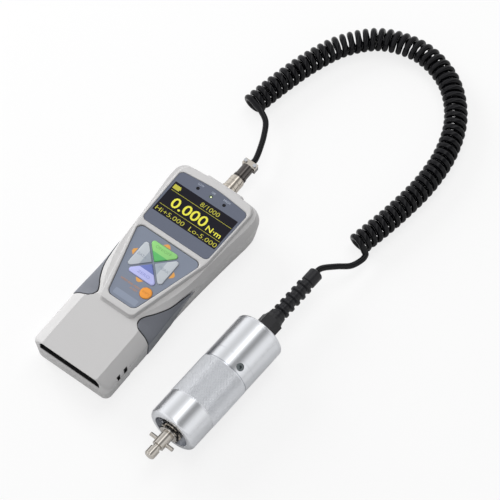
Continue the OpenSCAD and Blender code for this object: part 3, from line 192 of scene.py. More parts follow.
def surface(name, colour, roughness, metallic=0.0, grain=(0.9, 0.02), mottle=(18, 0.03),
            turned=None, split=None, **shader):
    """A finish with its grain and its uneven colour: grain and mottle each hold a size in
    millimetres and a depth or share, turned the axis angle and spacing of lathe lines, and split
    a second colour on the near side of a line, as point, direction across it and colour."""
    made, tree = blank_material(name)
    here = add(tree, "ShaderNodeTexCoord").outputs["Object"]
    patch = add(tree, "ShaderNodeTexNoise", {
        "Vector": here, "Scale": 1000 / mottle[0], "Detail": 3.0, "Roughness": 0.55})
    base = srgb(colour)
    dark = [c * (1 - mottle[1]) for c in base[:3]] + [1]
    light = [min(1, c * (1 + mottle[1])) for c in base[:3]] + [1]
    tone = add(tree, "ShaderNodeMix", {
        0: patch.outputs["Fac"], 6: dark, 7: light}, data_type="RGBA").outputs[2]
    if split:
        point, heading, second = split
        edge = 0.00005  # half the width of the line between the colours, in metres
        centred = add(tree, "ShaderNodeMapping", {
            "Vector": here, "Location": [-c for c in mm(*point)]}).outputs[0]
        ahead = add(tree, "ShaderNodeVectorMath", {0: centred, 1: heading}, operation="DOT_PRODUCT")
        past = add(tree, "ShaderNodeMapRange", {
            "Value": ahead.outputs["Value"], "From Min": -edge, "From Max": edge}).outputs[0]
        tone = add(tree, "ShaderNodeMix", {0: past, 6: srgb(second), 7: tone}, data_type="RGBA").outputs[2]
    fine = add(tree, "ShaderNodeTexNoise", {
        "Vector": here, "Scale": 1000 / grain[0], "Detail": 2.0}).outputs["Fac"]
    if turned:
        angle, spacing = turned
        around = 20  # a lathe line hardly changes on its way round the piece
        along = add(tree, "ShaderNodeMapping", {
            "Vector": here, "Rotation": (0, 0, math.radians(angle)),
            "Scale": (around, 1000 / spacing, around)}).outputs[0]
        fine = add(tree, "ShaderNodeTexNoise", {"Vector": along, "Scale": 1.0, "Detail": 3.0}).outputs["Fac"]
    bump = add(tree, "ShaderNodeBump", {"Height": fine, "Strength": 1.0, "Distance": grain[1] / 1000})
    shine = add(tree, "ShaderNodeMapRange", {
        "Value": patch.outputs["Fac"], "From Min": 0.3, "From Max": 0.7,
        "To Min": roughness * (1 - 2 * mottle[1]), "To Max": min(1, roughness * (1 + 2 * mottle[1]))})
    principled = add(tree, "ShaderNodeBsdfPrincipled", {
        "Base Color": tone, "Roughness": shine.outputs[0], "Metallic": metallic, "Normal": bump.outputs[0]})
    for socket, value in shader.items():
        principled.inputs[socket.replace("_", " ")].default_value = value
    add(tree, "ShaderNodeOutputMaterial", {"Surface": principled.outputs[0]})
    return made


def mm(x, y, z):
    """A point in millimetres from the foot end, turned to the frame's metres. The frame starts
    midway between the four threaded inserts in the back."""
    inserts_y = 105
    return Vector((x, y - inserts_y, z)) / 1000


cord_d = 4.3
curls, curl_r = 60, 6.5
table_gap = 0.1
coil_z = curl_r + cord_d / 2 + table_gap
# The middle line of the curls seen from above, and the lead's and the tail's free points
coil_route = [
    (-31, 250), (-26, 278), (-19, 306), (-8, 332), (12, 353), (41, 361), (70, 353),
    (92, 332), (104, 304), (107.5, 272), (104.5, 238), (98, 202)]
lead_route = [(-2.5, 221, 13.6), (-7, 232, 13.8), (-13, 242, 14.2)]
tail_route = [(107.5, 194, 9), (104.5, 185, 10.5), (98, 176, 15.5)]
route_steps, run_steps = 24, 14
# The connector's axis, and along it from the case the cord's end in the plug, the middle of the
# plug's shell and the end of its clamp
con_y, con_z = 177.1, 13.5
cord_start_s, shell_middle_s, clamp_end_s = 13, 24, 31.4
sensor_face = Vector((84.8, 4.1, 19.3))
sensor_turn = math.radians(2.4)
sensor_way = Vector((math.sin(sensor_turn), math.cos(sensor_turn), 0))
sensor_l = 96.5
boot_end_s = 158.1


def smooth_line(points, steps):
    """Catmull-Rom curve through the points, with some steps between neighbours."""
    first, last = 2 * points[0] - points[1], 2 * points[-1] - points[-2]
    p = [first] + points + [last]
    line = []
    for i in range(1, len(p) - 2):
        a, b, c, d = p[i - 1:i + 3]
        for j in range(steps):
            t = j / steps
            line.append(0.5 * (2 * b + (c - a) * t + (2 * a - 5 * b + 4 * c - d) * t * t
                               + (3 * b - a - 3 * c + d) * t * t * t))
    return line + [points[-1]]


coil_line = smooth_line([Vector((x, y, coil_z)) for x, y in coil_route], route_steps)
coil_run = [0.0]
for before, after in zip(coil_line, coil_line[1:]):
    coil_run.append(coil_run[-1] + (after - before).length)


def coil_middle(run):
    """The point on the coil's middle line after that many millimetres."""
    for i in range(1, len(coil_run)):
        if run <= coil_run[i] or i == len(coil_run) - 1:
            t = (run - coil_run[i - 1]) / (coil_run[i] - coil_run[i - 1])
            return coil_line[i - 1].lerp(coil_line[i], min(1.0, max(0.0, t)))


curl_sides = 8  # points in one curl of the solid that the cord stands for
finer = 4  # points drawn here for each of those
curl_rings = curls * curl_sides + 1
pitch = coil_run[-1] * curl_sides / curl_rings


def curl_point(k):
    """The point of the curls after k eighths of a turn, and the way that the cord runs there."""
    run = coil_run[-1] * k / curl_rings
    way = (coil_middle(min(coil_run[-1], run + 1)) - coil_middle(max(0.0, run - 1))).normalized()
    side, up = Vector((way.y, -way.x, 0)), Vector((0, 0, 1))
    angle = math.radians(90 + 360 * k / curl_sides)
    outward = math.cos(angle) * side + math.sin(angle) * up
    round_way = math.cos(angle) * up - math.sin(angle) * side
    onward = (2 * math.pi * curl_r / pitch * round_way + way).normalized()
    return coil_middle(run) + curl_r * outward, onward


def on_axis(s):
    """A point on the sensor's axis, that far behind its front face."""
    return sensor_face + s * sensor_way


coil_points = [curl_point(k / finer)[0] for k in range(curl_rings * finer + 1)]
start, start_way = curl_point(0)
end, end_way = curl_point(curl_rings)
lead_points = [
    Vector((0, con_y + s, con_z)) for s in (cord_start_s, shell_middle_s, clamp_end_s, clamp_end_s + cord_d)
] + [Vector(p) for p in lead_route] + [start - 2.5 * cord_d * start_way, start - cord_d * start_way, start]
tail_points = [end, end + cord_d * end_way, end + 1.6 * cord_d * end_way] + [
    Vector(p) for p in tail_route] + [
    on_axis(s) for s in (boot_end_s + cord_d, boot_end_s - 4, boot_end_s - 20, sensor_l)]
cord_points = smooth_line(lead_points, run_steps) + coil_points[1:-1] + smooth_line(tail_points, run_steps)

cord_curve = bpy.data.curves.new("cord", "CURVE")
cord_curve.dimensions = "3D"
flats_allowance = 1.02  # a tube made of flats measures less across than its corners
cord_curve.bevel_depth = flats_allowance * cord_d / 2000
cord_curve.bevel_resolution = 6
cord_curve.use_fill_caps = True
cord_spline = cord_curve.splines.new("POLY")
cord_spline.points.add(len(cord_points) - 1)
for knot, point in zip(cord_spline.points, cord_points):
    knot.co = (*mm(*point), 1)
# Extruded PVC: a smooth black skin with a faint haze, glossy enough to mirror the bright room
cord_pvc = surface("extruded_black_pvc", "#0B0B0F", 0.2, grain=(1.6, 0.01), mottle=(9, 0.12),
                   Specular_IOR_Level=0.2)
cord_curve.materials.append(cord_pvc)
cord = bpy.data.objects.new("cord", cord_curve)
scene.collection.objects.link(cord)
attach(cord, "plug_cord_and_sensor")
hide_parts("cord_lead", "curly_cord", "cord_tail")

# ---- Case: back and front shell -----------------------------------------------------------------
# Two cups of light grey ABS, injection moulded with a fine spark-eroded grain and screwed
# together from the back. The front cup carries a raised bezel with recesses for the display
# panel and the keypad, a bay for the sockets in its foot end and a strap eye at its side.
body_l = 174.5
# Half widths of the case, places along it, heights, and how far the shoulder slopes inwards
foot_hw, waist_hw, head_hw = 33, 32, 37.5
foot_y, waist_y, head_y = 47, 78, 156
wide_z, flat_z, face_z, split_z = 22, 30, 33, 13.5
wall = 2.4
foot_shoulder, tip_shoulder, head_shoulder = 9.3, 17.5, 2.6
tip_y, flare_y = 55, 105
arch = 1.2
parting_depth = 0.35
# Height, side inset, foot end inset, head end inset, foot and head corner radius
lower_levels = [
    (0, 3.8, 3.4, 3.6, 4, 9), (1.2, 3.1, 2.4, 2.6, 5, 10), (7, 2, 0.4, 1.2, 5.5, 11),
    (wide_z, 0, 0, 0, 5, 11)]
# Keypad and display panel: each end's place and half width, and the height of their floors
keypad_foot, keypad_head = (57.1, 11.6), (113.9, 28.1)
panel_foot, panel_head, panel_peak = (117.8, 28.7), (164.6, 29.7), 3
panel_z, key_floor_z = 32.2, 31.8
screen_y, screen_hw, screen_hh = 141.8, 27.5, 13.75
lights_y, lights_step, light_r = 160.3, 11.5, 1.2
keys_y, key_reach, key_half, key_tip = 94.2, 15, 13.9, 1.1
round_key, round_key_r = (10.4, 72.4), 4.5
through = (29, 34)  # heights between which a hole through the bezel's face is cut
bay_hw, bay_z, bay_top_z, bay_depth, bay_bevel = 26, 20, 28.9, 10, (2.5, 2.9)
# Strap eye: its back, its bar's back and front, its two ends, its heights and its holes' length
eye_back, bar_back, bar_front = 28, 31, 32.2
eye_y0, eye_y1, eye_z0, eye_z1, eye_hole_l = 12, 23, 18.4, 24, 3.4
outside_x = 40


def between(a, b, t):
    """The value a share t of the way from a to b."""
    return a + (b - a) * t


def case_w(y):
    """Half width of the case at its widest line."""
    if y <= foot_y:
        return foot_hw
    if y <= waist_y:
        return between(foot_hw, waist_hw, (1 - math.cos(math.pi * (y - foot_y) / (waist_y - foot_y))) / 2)
    return between(waist_hw, head_hw, min(1, (y - waist_y) / (head_y - waist_y)) ** 1.5)


def shoulder(y):
    """How far the shoulder slopes inwards from the widest line up to the flat front."""
    if y <= foot_y:
        return foot_shoulder
    if y <= tip_y:
        return between(foot_shoulder, tip_shoulder, (y - foot_y) / (tip_y - foot_y))
    return between(head_shoulder, tip_shoulder, (max(0, flare_y - y) / (flare_y - tip_y)) ** 2)


def pad_w(y):
    """Half width of the keypad and the display panel, run on past both ends."""
    ends = [keypad_foot, keypad_head, panel_foot, panel_head]
    (y0, w0), (y1, w1) = ends[:2] if y <= keypad_head[0] else ends[1:3] if y <= panel_foot[0] else ends[2:]
    return between(w0, w1, (y - y0) / (y1 - y0))


def outline(half_width, y0, y1, r0, r1):
    """Closed outline of the case: foot corner, side, head corner and arched head end, mirrored."""
    arc, side = 8, 70
    foot_x, head_x = half_width(y0 + r0) - r0, half_width(y1 - r1) - r1
    half = [(foot_x + r0 * math.sin(a), y0 + r0 - r0 * math.cos(a))
            for a in (math.pi / 2 * i / arc for i in range(arc + 1))]
    half += [(half_width(y), y) for y in (between(y0 + r0, y1 - r1, i / side) for i in range(1, side))]
    half += [(head_x + r1 * math.cos(a), y1 - r1 + r1 * math.sin(a))
             for a in (math.pi / 2 * i / arc for i in range(arc + 1))]
    half += [(head_x * f, y1 + arch * (1 - f * f)) for f in (0.8, 0.6, 0.4, 0.2)]
    return half + [(-x, y) for x, y in reversed(half)]


def case_ring(z, e):
    """The case's outline at a height, drawn in by e all round."""
    if z <= wide_z:
        low, high = next((a, b) for a, b in zip(lower_levels, lower_levels[1:]) if z <= b[0])
        t = (z - low[0]) / (high[0] - low[0])
        inset, in_foot, in_head, r0, r1 = (between(a, b, t) for a, b in zip(low[1:], high[1:]))
        share = 0
    else:
        t = (z - wide_z) / (flat_z - wide_z)
        inset, in_foot, in_head, r0, r1, share = 0, 0, 1.8 * t * t, 5 - 3.8 * t, 11 - 2 * t, t ** 1.45
    return [(x, y, z) for x, y in outline(
        lambda y: case_w(y) - inset - share * shoulder(y) - e,
        in_foot + e, body_l - in_head - e, max(1, r0 - e), max(1, r1 - e))]


def loft(rings):
    """A closed shape through rings of as many points each."""
    n = len(rings[0])
    faces = [tuple(range(n))]
    for k in range(len(rings) - 1):
        faces += [(k * n + i, (k + 1) * n + i, (k + 1) * n + (i + 1) % n, k * n + (i + 1) % n)
                  for i in range(n)]
    faces.append(tuple(range(len(rings) * n - 1, (len(rings) - 1) * n - 1, -1)))
    return [p for ring in rings for p in ring], faces


def prism(points, z0, z1):
    """An outline raised from one height to another."""
    return loft([[(x, y, z) for x, y in points] for z in (z0, z1)])


def block(x0, x1, y0, y1, z0, z1):
    """A box between two places along each axis."""
    return prism([(x0, y0), (x1, y0), (x1, y1), (x0, y1)], z0, z1)


def circle(x, y, r, sides=32):
    """A circle's points round x and y."""
    return [(x + r * math.cos(2 * math.pi * i / sides), y + r * math.sin(2 * math.pi * i / sides))
            for i in range(sides)]


def solid(name, *shapes):
    """One mesh object out of closed shapes, each given as points in millimetres and faces."""
    built = bmesh.new()
    for points, faces in shapes:
        corners = [built.verts.new(mm(*p)) for p in points]
        for face in faces:
            built.faces.new([corners[i] for i in face])
    bmesh.ops.remove_doubles(built, verts=built.verts, dist=1e-7)
    bmesh.ops.recalc_face_normals(built, faces=built.faces)
    mesh = bpy.data.meshes.new(name)
    built.to_mesh(mesh)
    built.free()
    made = bpy.data.objects.new(name, mesh)
    scene.collection.objects.link(made)
    return made


def settle(piece):
    """Turns a piece's modifiers into its plain mesh."""
    mesh = bpy.data.meshes.new_from_object(piece.evaluated_get(bpy.context.evaluated_depsgraph_get()))
    piece.modifiers.clear()
    piece.data = mesh


def combine(piece, how, *others):
    """Cuts, joins or clips the piece with other solids, which are then gone."""
    for other in others:
        change = piece.modifiers.new("combine", "BOOLEAN")
        change.operation = how
        change.solver = "MANIFOLD"
        change.object = other
        settle(piece)
        bpy.data.objects.remove(other)
    return piece


def finish_piece(piece, finish, body, nodes=(), edge=25):
    """Gives a piece its material, its crisp edges, its body and the CAD nodes it stands for."""
    piece.data.materials.clear()
    piece.data.materials.append(finish)
    piece.data.shade_smooth()
    piece.data.set_sharp_from_angle(angle=math.radians(edge))
    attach(piece, body)
    if nodes:
        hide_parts(*nodes)


def rounded(points, radii, steps=8):
    """A convex polygon with each corner rounded to its own radius."""
    line, n = [], len(points)
    for i, (x, y) in enumerate(points):
        here = Vector((x, y))
        u = (Vector(points[i - 1]) - here).normalized()
        v = (Vector(points[(i + 1) % n]) - here).normalized()
        half = math.acos(max(-1, min(1, u.dot(v)))) / 2
        r = radii[i % len(radii)]
        centre = here + (u + v).normalized() * r / math.sin(half)
        from_way = here + u * r / math.tan(half) - centre
        sweep = math.pi - 2 * half
        side = -1 if from_way.x * (centre.y - y) - from_way.y * (centre.x - x) > 0 else 1
        begin = math.atan2(from_way.y, from_way.x)
        line += [(centre.x + r * math.cos(begin + side * sweep * j / steps),
                  centre.y + r * math.sin(begin + side * sweep * j / steps)) for j in range(steps + 1)]
    return line


def bezel_ring(z, grow, in_foot, in_head):
    """The raised bezel's outline at a height: it frames the keypad and the panel."""

    def half_width(y):
        t = min(1, max(0, (y - keypad_foot[0]) / (keypad_head[0] - keypad_foot[0])))
        return min(case_w(y) - shoulder(y) - 0.2, pad_w(y) + between(4, 2, t)) + grow
    return [(x, y, z) for x, y in outline(half_width, 51 + in_foot, body_l - in_head, 4, 8)]


def panel_outline(g):
    """The display panel's outline, drawn in by g, with its peaked head end."""
    return rounded([(-panel_foot[1] + g, panel_foot[0] + g), (panel_foot[1] - g, panel_foot[0] + g),
                    (panel_head[1] - g, panel_head[0] - g), (0, panel_head[0] + panel_peak - g),
                    (-panel_head[1] + g, panel_head[0] - g)], [3.5, 3.5, 4, 90, 4])


def keypad_outline(g):
    """The keypad's outline, drawn in by g."""
    return rounded([(-keypad_foot[1] + g, keypad_foot[0] + g), (keypad_foot[1] - g, keypad_foot[0] + g),
                    (keypad_head[1] - g, keypad_head[0] - g), (-keypad_head[1] + g, keypad_head[0] - g)],
                   [5, 5, 4, 4])


def recess(plan, floor_z, soft):
    """A recess whose rim is rounded over where it meets the bezel's face."""
    steps = [(0, floor_z), (0, face_z - 1.6 * soft), (-0.15 * soft, face_z - 0.9 * soft),
             (-0.5 * soft, face_z - 0.35 * soft), (-1.2 * soft, face_z + 0.02), (-1.2 * soft, face_z + 1)]
    return loft([[(x, y, z) for x, y in plan(g)] for g, z in steps])


def key_outline(g, turn):
    """A three-cornered key's outline, grown by g, turned about the keypad's centre."""
    angle = math.atan(key_half / (key_reach - key_tip))
    tip = key_tip - g / math.sin(angle)
    half = (key_reach + g - tip) * math.tan(angle)
    c, s = math.cos(math.radians(turn)), math.sin(math.radians(turn))
    plan = rounded([(0, tip), (half, key_reach + g), (-half, key_reach + g)], [0.6 + g, 2.1 + g, 2.1 + g], 6)
    return [(c * x - s * y, keys_y + s * x + c * y) for x, y in plan]


def bay_block(g, y0, y1):
    """The socket bay's mouth, grown by g all round."""
    points = [(-bay_hw - g, bay_z - g), (bay_hw + g, bay_z - g), (bay_hw + g, bay_top_z - bay_bevel[1]),
              (bay_hw + g - bay_bevel[0], bay_top_z + g), (-bay_hw - g + bay_bevel[0], bay_top_z + g),
              (-bay_hw - g, bay_top_z - bay_bevel[1])]
    return loft([[(x, y, z) for x, z in points] for y in (y0, y1)])


def window_block(g, z0, z1):
    """A block round the screen's window, grown by g, between two heights."""
    return block(-screen_hw - g, screen_hw + g, screen_y - screen_hh - g, screen_y + screen_hh + g, z0, z1)


def eye_holes(g, front):
    """The strap eye's two holes beside its bar, drawn in by g, from their back to the front."""
    return [block(eye_back + g, front, y + g, y + eye_hole_l - g, eye_z0 + g, eye_z1 - g)
            for y in (eye_y0, eye_y1 - eye_hole_l)]


def case_solid(name, e, heights):
    """The case's form between two heights, drawn in by e all round."""
    return solid(name, loft([case_ring(z, e) for z in heights]))


outer_heights = [0, 0.3, 0.7, 1.2, 2, 3.5, 5.5, 7, 9, 11, split_z - parting_depth]
outer_heights += [split_z + parting_depth, 16, 19, 21, 22, 23, 24, 25, 26, 27, 28, 29, 29.6, flat_z]
case_rings = [case_ring(z, 0) for z in outer_heights]
case_rings.insert(outer_heights.index(split_z + parting_depth), case_ring(split_z, parting_depth))
pad_plan = rounded([(-18, 4), (18, 4), (16, 25), (-16, 25)], [3, 3, 3, 3])
connector_pad = [loft([[(x, y, z) for x, z in pad_plan] for y in (165, body_l + arch + 1.4)])]
inner_heights = [wall, 5, 7, 14, 20, 22, 24, 26, flat_z - wall]
connector_bore = loft([[(x, y, con_z + z) for x, z in circle(0, 0, 5.1)] for y in (160, 185)])
grip_edge = [Vector((x, y)) for x, y in (
    (36.5, 42), (33, 45.2), (29, 46.8), (23, 47.8), (20, 49.5), (18.5, 52.5), (18.2, 55.5), (20, 59.5),
    (24.2, 66), (28.6, 76), (30.8, 88), (32.4, 99), (34, 102.5), (46, 104))]
grip_edge = smooth_line(grip_edge, 5)
# The grips' lower edge, the depth of their pockets and a place beyond the case's side
grip_z, pocket_depth, past_case = 1.2, 1.0, 46


def grip_plan(side, inset):
    """The grip's outline seen from the front, drawn in at its seen edge."""
    line = []
    for i, p in enumerate(grip_edge):
        way = (grip_edge[min(i + 1, len(grip_edge) - 1)] - grip_edge[max(i - 1, 0)]).normalized()
        line.append((side * (p.x + inset * way.y), p.y - inset * way.x))
    return line + [(side * past_case, 104 - inset), (side * past_case, 40 + inset)]


def whole_case():
    """Both cups in one, with the groove of the parting line and the pad for the connector."""
    return combine(solid("whole_case", loft(case_rings)), "UNION", solid("pad", *connector_pad))


def hollow_case():
    """The room inside the case."""
    return case_solid("hollow", wall, inner_heights)


def grip_pockets():
    """The shallow pockets at both sides that the grips are glued into."""
    return [combine(solid("pocket", prism(grip_plan(side, 0), grip_z, flat_z + 1)), "DIFFERENCE",
                    case_solid("core", pocket_depth, outer_heights)) for side in (1, -1)]


# A small notch in the lower edge of the right side
side_notch = block(29.2, 50, 28, 35, -1, 3.5)
insert_places = [(x, y) for x in (-15, 15) for y in (75, 135)]
screw_places = [(s * x, y) for x, y in ((26.4, 34), (28.5, 162.5)) for s in (1, -1)]
back_shell = combine(
    whole_case(), "DIFFERENCE", solid("above", block(-60, 60, -20, 220, split_z, 60)), hollow_case(),
    *grip_pockets(), solid("bore", connector_bore))
combine(back_shell, "UNION", *[solid("boss", prism(circle(x, y, 4.8), 1, 7.5)) for x, y in insert_places])
combine(back_shell, "DIFFERENCE", solid(
    "holes", *[prism(circle(x, y, 3.0), -1, 6.2) for x, y in insert_places],
    *[prism(circle(x, y, 2.8), -1, 6) for x, y in screw_places], side_notch))

front_shell = combine(
    whole_case(), "DIFFERENCE", solid("below", block(-60, 60, -20, 220, -20, split_z)), hollow_case())
rim_angles = [math.pi / 2 * i / 6 for i in range(7)]
combine(front_shell, "UNION", solid("bezel", loft(
    [bezel_ring(flat_z - 0.5, 0.5, -0.5, 1.8), bezel_ring(flat_z + 0.1, 0.4, -0.4, 1.9)]
    + [bezel_ring(31.4 + 1.6 * math.sin(a), -0.1 - 0.9 * (1 - math.cos(a)), 0.6 + (1 - math.cos(a)),
                  2.6 + (1 - math.cos(a))) for a in rim_angles])))
bay_walls = combine(solid("bay_walls", bay_block(1.6, 1.9, 11.6)), "INTERSECT",
                    case_solid("skin", 0.5, outer_heights))
combine(front_shell, "UNION", bay_walls, solid("eye_block", block(
    eye_back - 1.6, eye_back + 2.4, eye_y0 - 1.5, eye_y1 + 1.5, eye_z0 - 1.6, eye_z1 + 1)))
# Places of the parallel connector, the USB socket and the power jack in the bay's back wall
socket_places = [block(-19.1, 5.1, 8, 20, 21.4, 26.5), block(8.9, 17.1, 8, 20, 21.4, 24.5),
                 loft([[(x, y, 23.6 + z) for x, z in circle(20.6, 0, 2.1)] for y in (8, 20)])]
light_places = [-lights_step, 0, lights_step]
quarter_turns = [0, 90, 180, 270]
combine(
    front_shell, "DIFFERENCE", *grip_pockets(), solid("bore", connector_bore),
    solid("under_bezel", loft([bezel_ring(z, -2, 2, 4.2) for z in (flat_z - wall - 0.01, flat_z)])),
    solid("panel_recess", recess(panel_outline, panel_z, 0.35)),
    solid("keypad_recess", recess(keypad_outline, key_floor_z, 0.6)),
    solid("screen_hole", window_block(0.1, 31.2, 34)), solid("screen_lip", window_block(-1.2, 29, 31.3)),
    solid("small_holes", *[prism(circle(x, lights_y, light_r + 0.1), *through) for x in light_places],
          *[prism(key_outline(0.2, turn), *through) for turn in quarter_turns],
          prism(circle(*round_key, round_key_r + 0.2), *through)),
    solid("bay", bay_block(0, -5, bay_depth)), solid("socket_places", *socket_places),
    solid("eye_recess", block(bar_front, outside_x, eye_y0, eye_y1, eye_z0, eye_z1)),
    solid("eye_passage", block(eye_back, bar_back, eye_y0, eye_y1, eye_z0, eye_z1)),
    solid("eye_holes", *eye_holes(0, outside_x)))
# Moulded ABS: light warm grey, half matt, with a fine grain drawn coarser than it is
shell_abs = surface("moulded_light_grey_abs", "#C9C8C8", 0.45, grain=(0.9, 0.03), mottle=(30, 0.02), IOR=1.53)
finish_piece(back_shell, shell_abs, "display_unit", ["back_shell"], 18)
finish_piece(front_shell, shell_abs, "display_unit", ["front_shell"], 18)

# Painted shade: a black sheet lining the socket bay, with the sockets standing through its back wall, so that
# the bay reads as a dark hollow
bay_painted_shade = combine(solid("bay_painted_shade", bay_block(-0.02, 0.4, bay_depth - 0.02)), "DIFFERENCE",
                     solid("mouth", bay_block(-0.3, -5, bay_depth - 0.3)),
                     solid("socket_places", *socket_places))
# Dull black used as painted shade, here so that the bay reads as a dark hollow
painted_shade_black = surface("black_painted_shade", "#141416", 0.55, grain=(0.6, 0.03), mottle=(8, 0.1))
finish_piece(bay_painted_shade, painted_shade_black, "display_unit")
# Painted shade in the strap eye's two holes: black sheets alike, so they read as black slots beside the bar
eye_painted_shade = combine(solid("eye_painted_shade", *eye_holes(0.02, bar_front)), "DIFFERENCE",
                     solid("eye_mouth", *eye_holes(0.3, outside_x)))
finish_piece(eye_painted_shade, painted_shade_black, "display_unit")

# ---- Grips --------------------------------------------------------------------------------------
# Soft grey TPE pads, moulded on their own and glued into pockets at both sides of the case. They
# stand half a millimetre proud, with rounded edges, and painted shade makes the gap round them dark.
grip_gap, grip_proud, shade_bed_depth = 0.75, 0.45, 0.75
grip_top = flat_z - 0.3
# Moulded TPE: dull slate grey with a powdery sheen
grip_tpe = surface("moulded_slate_tpe", "#74777F", 0.62, grain=(0.8, 0.05), mottle=(14, 0.05),
                   IOR=1.5, Sheen_Weight=0.25, Sheen_Roughness=0.4)
for side, name in ((1, "grip_right"), (-1, "grip_left")):
    # Painted shade: a black sheet on the pocket's floor, which shows as a dark line in the gap
    shade_bed = combine(solid("shade_bed_of_" + name, prism(grip_plan(side, 0.03), grip_z, grip_top)), "INTERSECT",
                  case_solid("low", shade_bed_depth, outer_heights))
    combine(shade_bed, "DIFFERENCE", case_solid("core", pocket_depth, outer_heights))
    finish_piece(shade_bed, painted_shade_black, "display_unit")
    grip = solid(name, prism(grip_plan(side, grip_gap), grip_z, grip_top))
    combine(grip, "INTERSECT", case_solid("proud", -grip_proud, outer_heights))
    combine(grip, "DIFFERENCE", case_solid("core", pocket_depth, outer_heights))
    # An even, fine mesh, smoothed until the moulded edges are round
    even = grip.modifiers.new("even", "REMESH")
    even.mode = "VOXEL"
    even.voxel_size = 0.00028
    ease = grip.modifiers.new("ease", "SMOOTH")
    ease.factor = 0.5
    ease.iterations = 16
    settle(grip)
    finish_piece(grip, grip_tpe, "display_unit", [name], 80)

# ---- Display: printed panel, window, screen and status lights -----------------------------------
# A polycarbonate sheet, printed blue-grey on its back, glued into the bezel round a smoked acrylic
# window. The screen shows yellow figures in the window, and three lights stand in holes above it.
ink_t = 0.04


def lettering(text, x0, x1, y0, y1, z, bold=0.0):
    """Plain lettering that fills a rectangle, a hair thick, as points and faces."""
    type_curve = bpy.data.curves.new("lettering", "FONT")
    type_curve.body = text
    type_curve.extrude = 0.01
    type_curve.offset = bold
    type_curve.resolution_u = 3
    type_object = bpy.data.objects.new("lettering", type_curve)
    scene.collection.objects.link(type_object)
    mesh = bpy.data.meshes.new_from_object(type_object.evaluated_get(bpy.context.evaluated_depsgraph_get()))
    xs, ys, zs = ([v.co[i] for v in mesh.vertices] for i in range(3))
    points = [(between(x0, x1, (v.co.x - min(xs)) / (max(xs) - min(xs))),
               between(y0, y1, (v.co.y - min(ys)) / (max(ys) - min(ys))),
               z + ink_t * (v.co.z - min(zs)) / (max(zs) - min(zs))) for v in mesh.vertices]
    faces = [tuple(face.vertices) for face in mesh.polygons]
    bpy.data.objects.remove(type_object)
    return points, faces


def glowing(name, colour, level):
    """A lit print: its own even light, a little uneven from dot to dot."""
    made, tree = blank_material(name)
    here = add(tree, "ShaderNodeTexCoord").outputs["Object"]
    patch_scale, dimmest = 900.0, 0.86  # patches a little over a millimetre wide
    patch = add(tree, "ShaderNodeTexNoise", {"Vector": here, "Scale": patch_scale, "Detail": 1.0})
    tone = srgb(colour)
    dim = [c * dimmest for c in tone[:3]] + [1]
    lit = add(tree, "ShaderNodeMix", {0: patch.outputs["Fac"], 6: dim, 7: tone}, data_type="RGBA").outputs[2]
    principled = add(tree, "ShaderNodeBsdfPrincipled", {
        "Base Color": lit, "Roughness": 0.4, "Emission Color": lit, "Emission Strength": level})
    add(tree, "ShaderNodeOutputMaterial", {"Surface": principled.outputs[0]})
    return made


# Printed polycarbonate: satin, with a fine leather grain and a trace of unevenness in the ink
panel_print = surface("back_printed_polycarbonate", "#5C6272", 0.38, grain=(0.7, 0.015), mottle=(22, 0.03))
# Smoked acrylic: nearly black and polished
window_acrylic = surface("polished_smoked_acrylic", "#1C1B23", 0.12, grain=(6, 0.002), mottle=(30, 0.06),
                         Specular_IOR_Level=0.12)
window_corners = [(x * screen_hw, screen_y + y * screen_hh) for x, y in ((-1, -1), (1, -1), (1, 1), (-1, 1))]
window_plan = rounded(window_corners, [0.3])
window_floor, window_face, window_top = 31.2, 32.66, 32.7
panel_sheet = combine(
    solid("display_panel", prism(panel_outline(0.18), panel_z, window_top)), "DIFFERENCE",
    solid("window_hole", prism(window_plan, *through)),
    solid("light_holes", *[prism(circle(x, lights_y, light_r + 0.12), *through) for x in light_places]))
finish_piece(panel_sheet, panel_print, "display_unit", ["display_panel"])
window_fit = 0.998  # leaves a hair of room in the panel's hole
window_pane = prism([(x * window_fit, y) for x, y in window_plan], window_floor, window_face)
finish_piece(solid("screen_window", window_pane), window_acrylic, "display_unit", ["screen_window"])
# Painted shade: a black sheet under the panel, which shows as a dark line round it where the recess's wall
# lies in shade
finish_piece(solid("panel_shade_line", prism(panel_outline(0.03), panel_z, panel_z + 0.05)), painted_shade_black,
             "display_unit")
# Lit yellow segments: the large figures brighter than the rows above and below them
rows_x0, rows_x1, ink_top = -26, 27, window_top + ink_t
figure_shapes = [lettering("0.000", -19.6, 10.6, 137, 145.6, window_top, 0.012),
                 lettering("N·m", 12.6, 25, 136.6, 141, window_top, 0.014)]
small_shapes = [
    block(-26.4, -20.8, 149.9, 153.6, window_top, ink_top),
    block(-20.8, -20.2, 151, 152.5, window_top, ink_top),
    block(rows_x0, rows_x1, 148.25, 148.55, window_top, ink_top),
    block(rows_x0, rows_x1, 134.85, 135.15, window_top, ink_top),
    lettering("8/1000", -2.2, 14, 149.8, 153.4, window_top),
    lettering("Hi+5.000", rows_x0, -1.4, 129.2, 132.7, window_top),
    lettering("Lo-5.000", 3.2, rows_x1, 129.2, 132.7, window_top)]
finish_piece(solid("screen_figures", *figure_shapes), glowing("lit_yellow_segments", "#DCD742", 0.25),
             "display_unit")
finish_piece(solid("screen_rows", *small_shapes), glowing("dim_yellow_segments", "#B9B43C", 0.12),
             "display_unit")
# Screen-printed words above the lights: thin, pale and matt
pale_ink = surface("pale_screen_ink", "#B4BCCB", 0.45, grain=(0.4, 0.01), mottle=(3, 0.08))
finish_piece(solid("panel_labels", *[
    lettering(text, x - w, x + w, 163, 164.6, window_top)
    for text, x, w in (("LOW", -11.2, 2.4), ("OK", 0, 1.6), ("HIGH", 11.6, 2.8))]), pale_ink,
    "display_unit")


def light_dome(x):
    """A status light's round body, with its flat dome just over the panel."""
    rise = [(light_r, 28.4), (light_r, window_top - 0.1), (0.8 * light_r, window_top + 0.06),
            (0.3, window_top + 0.14)]
    return loft([[(p, q, z) for p, q in circle(x, lights_y, r, 24)] for r, z in rise])


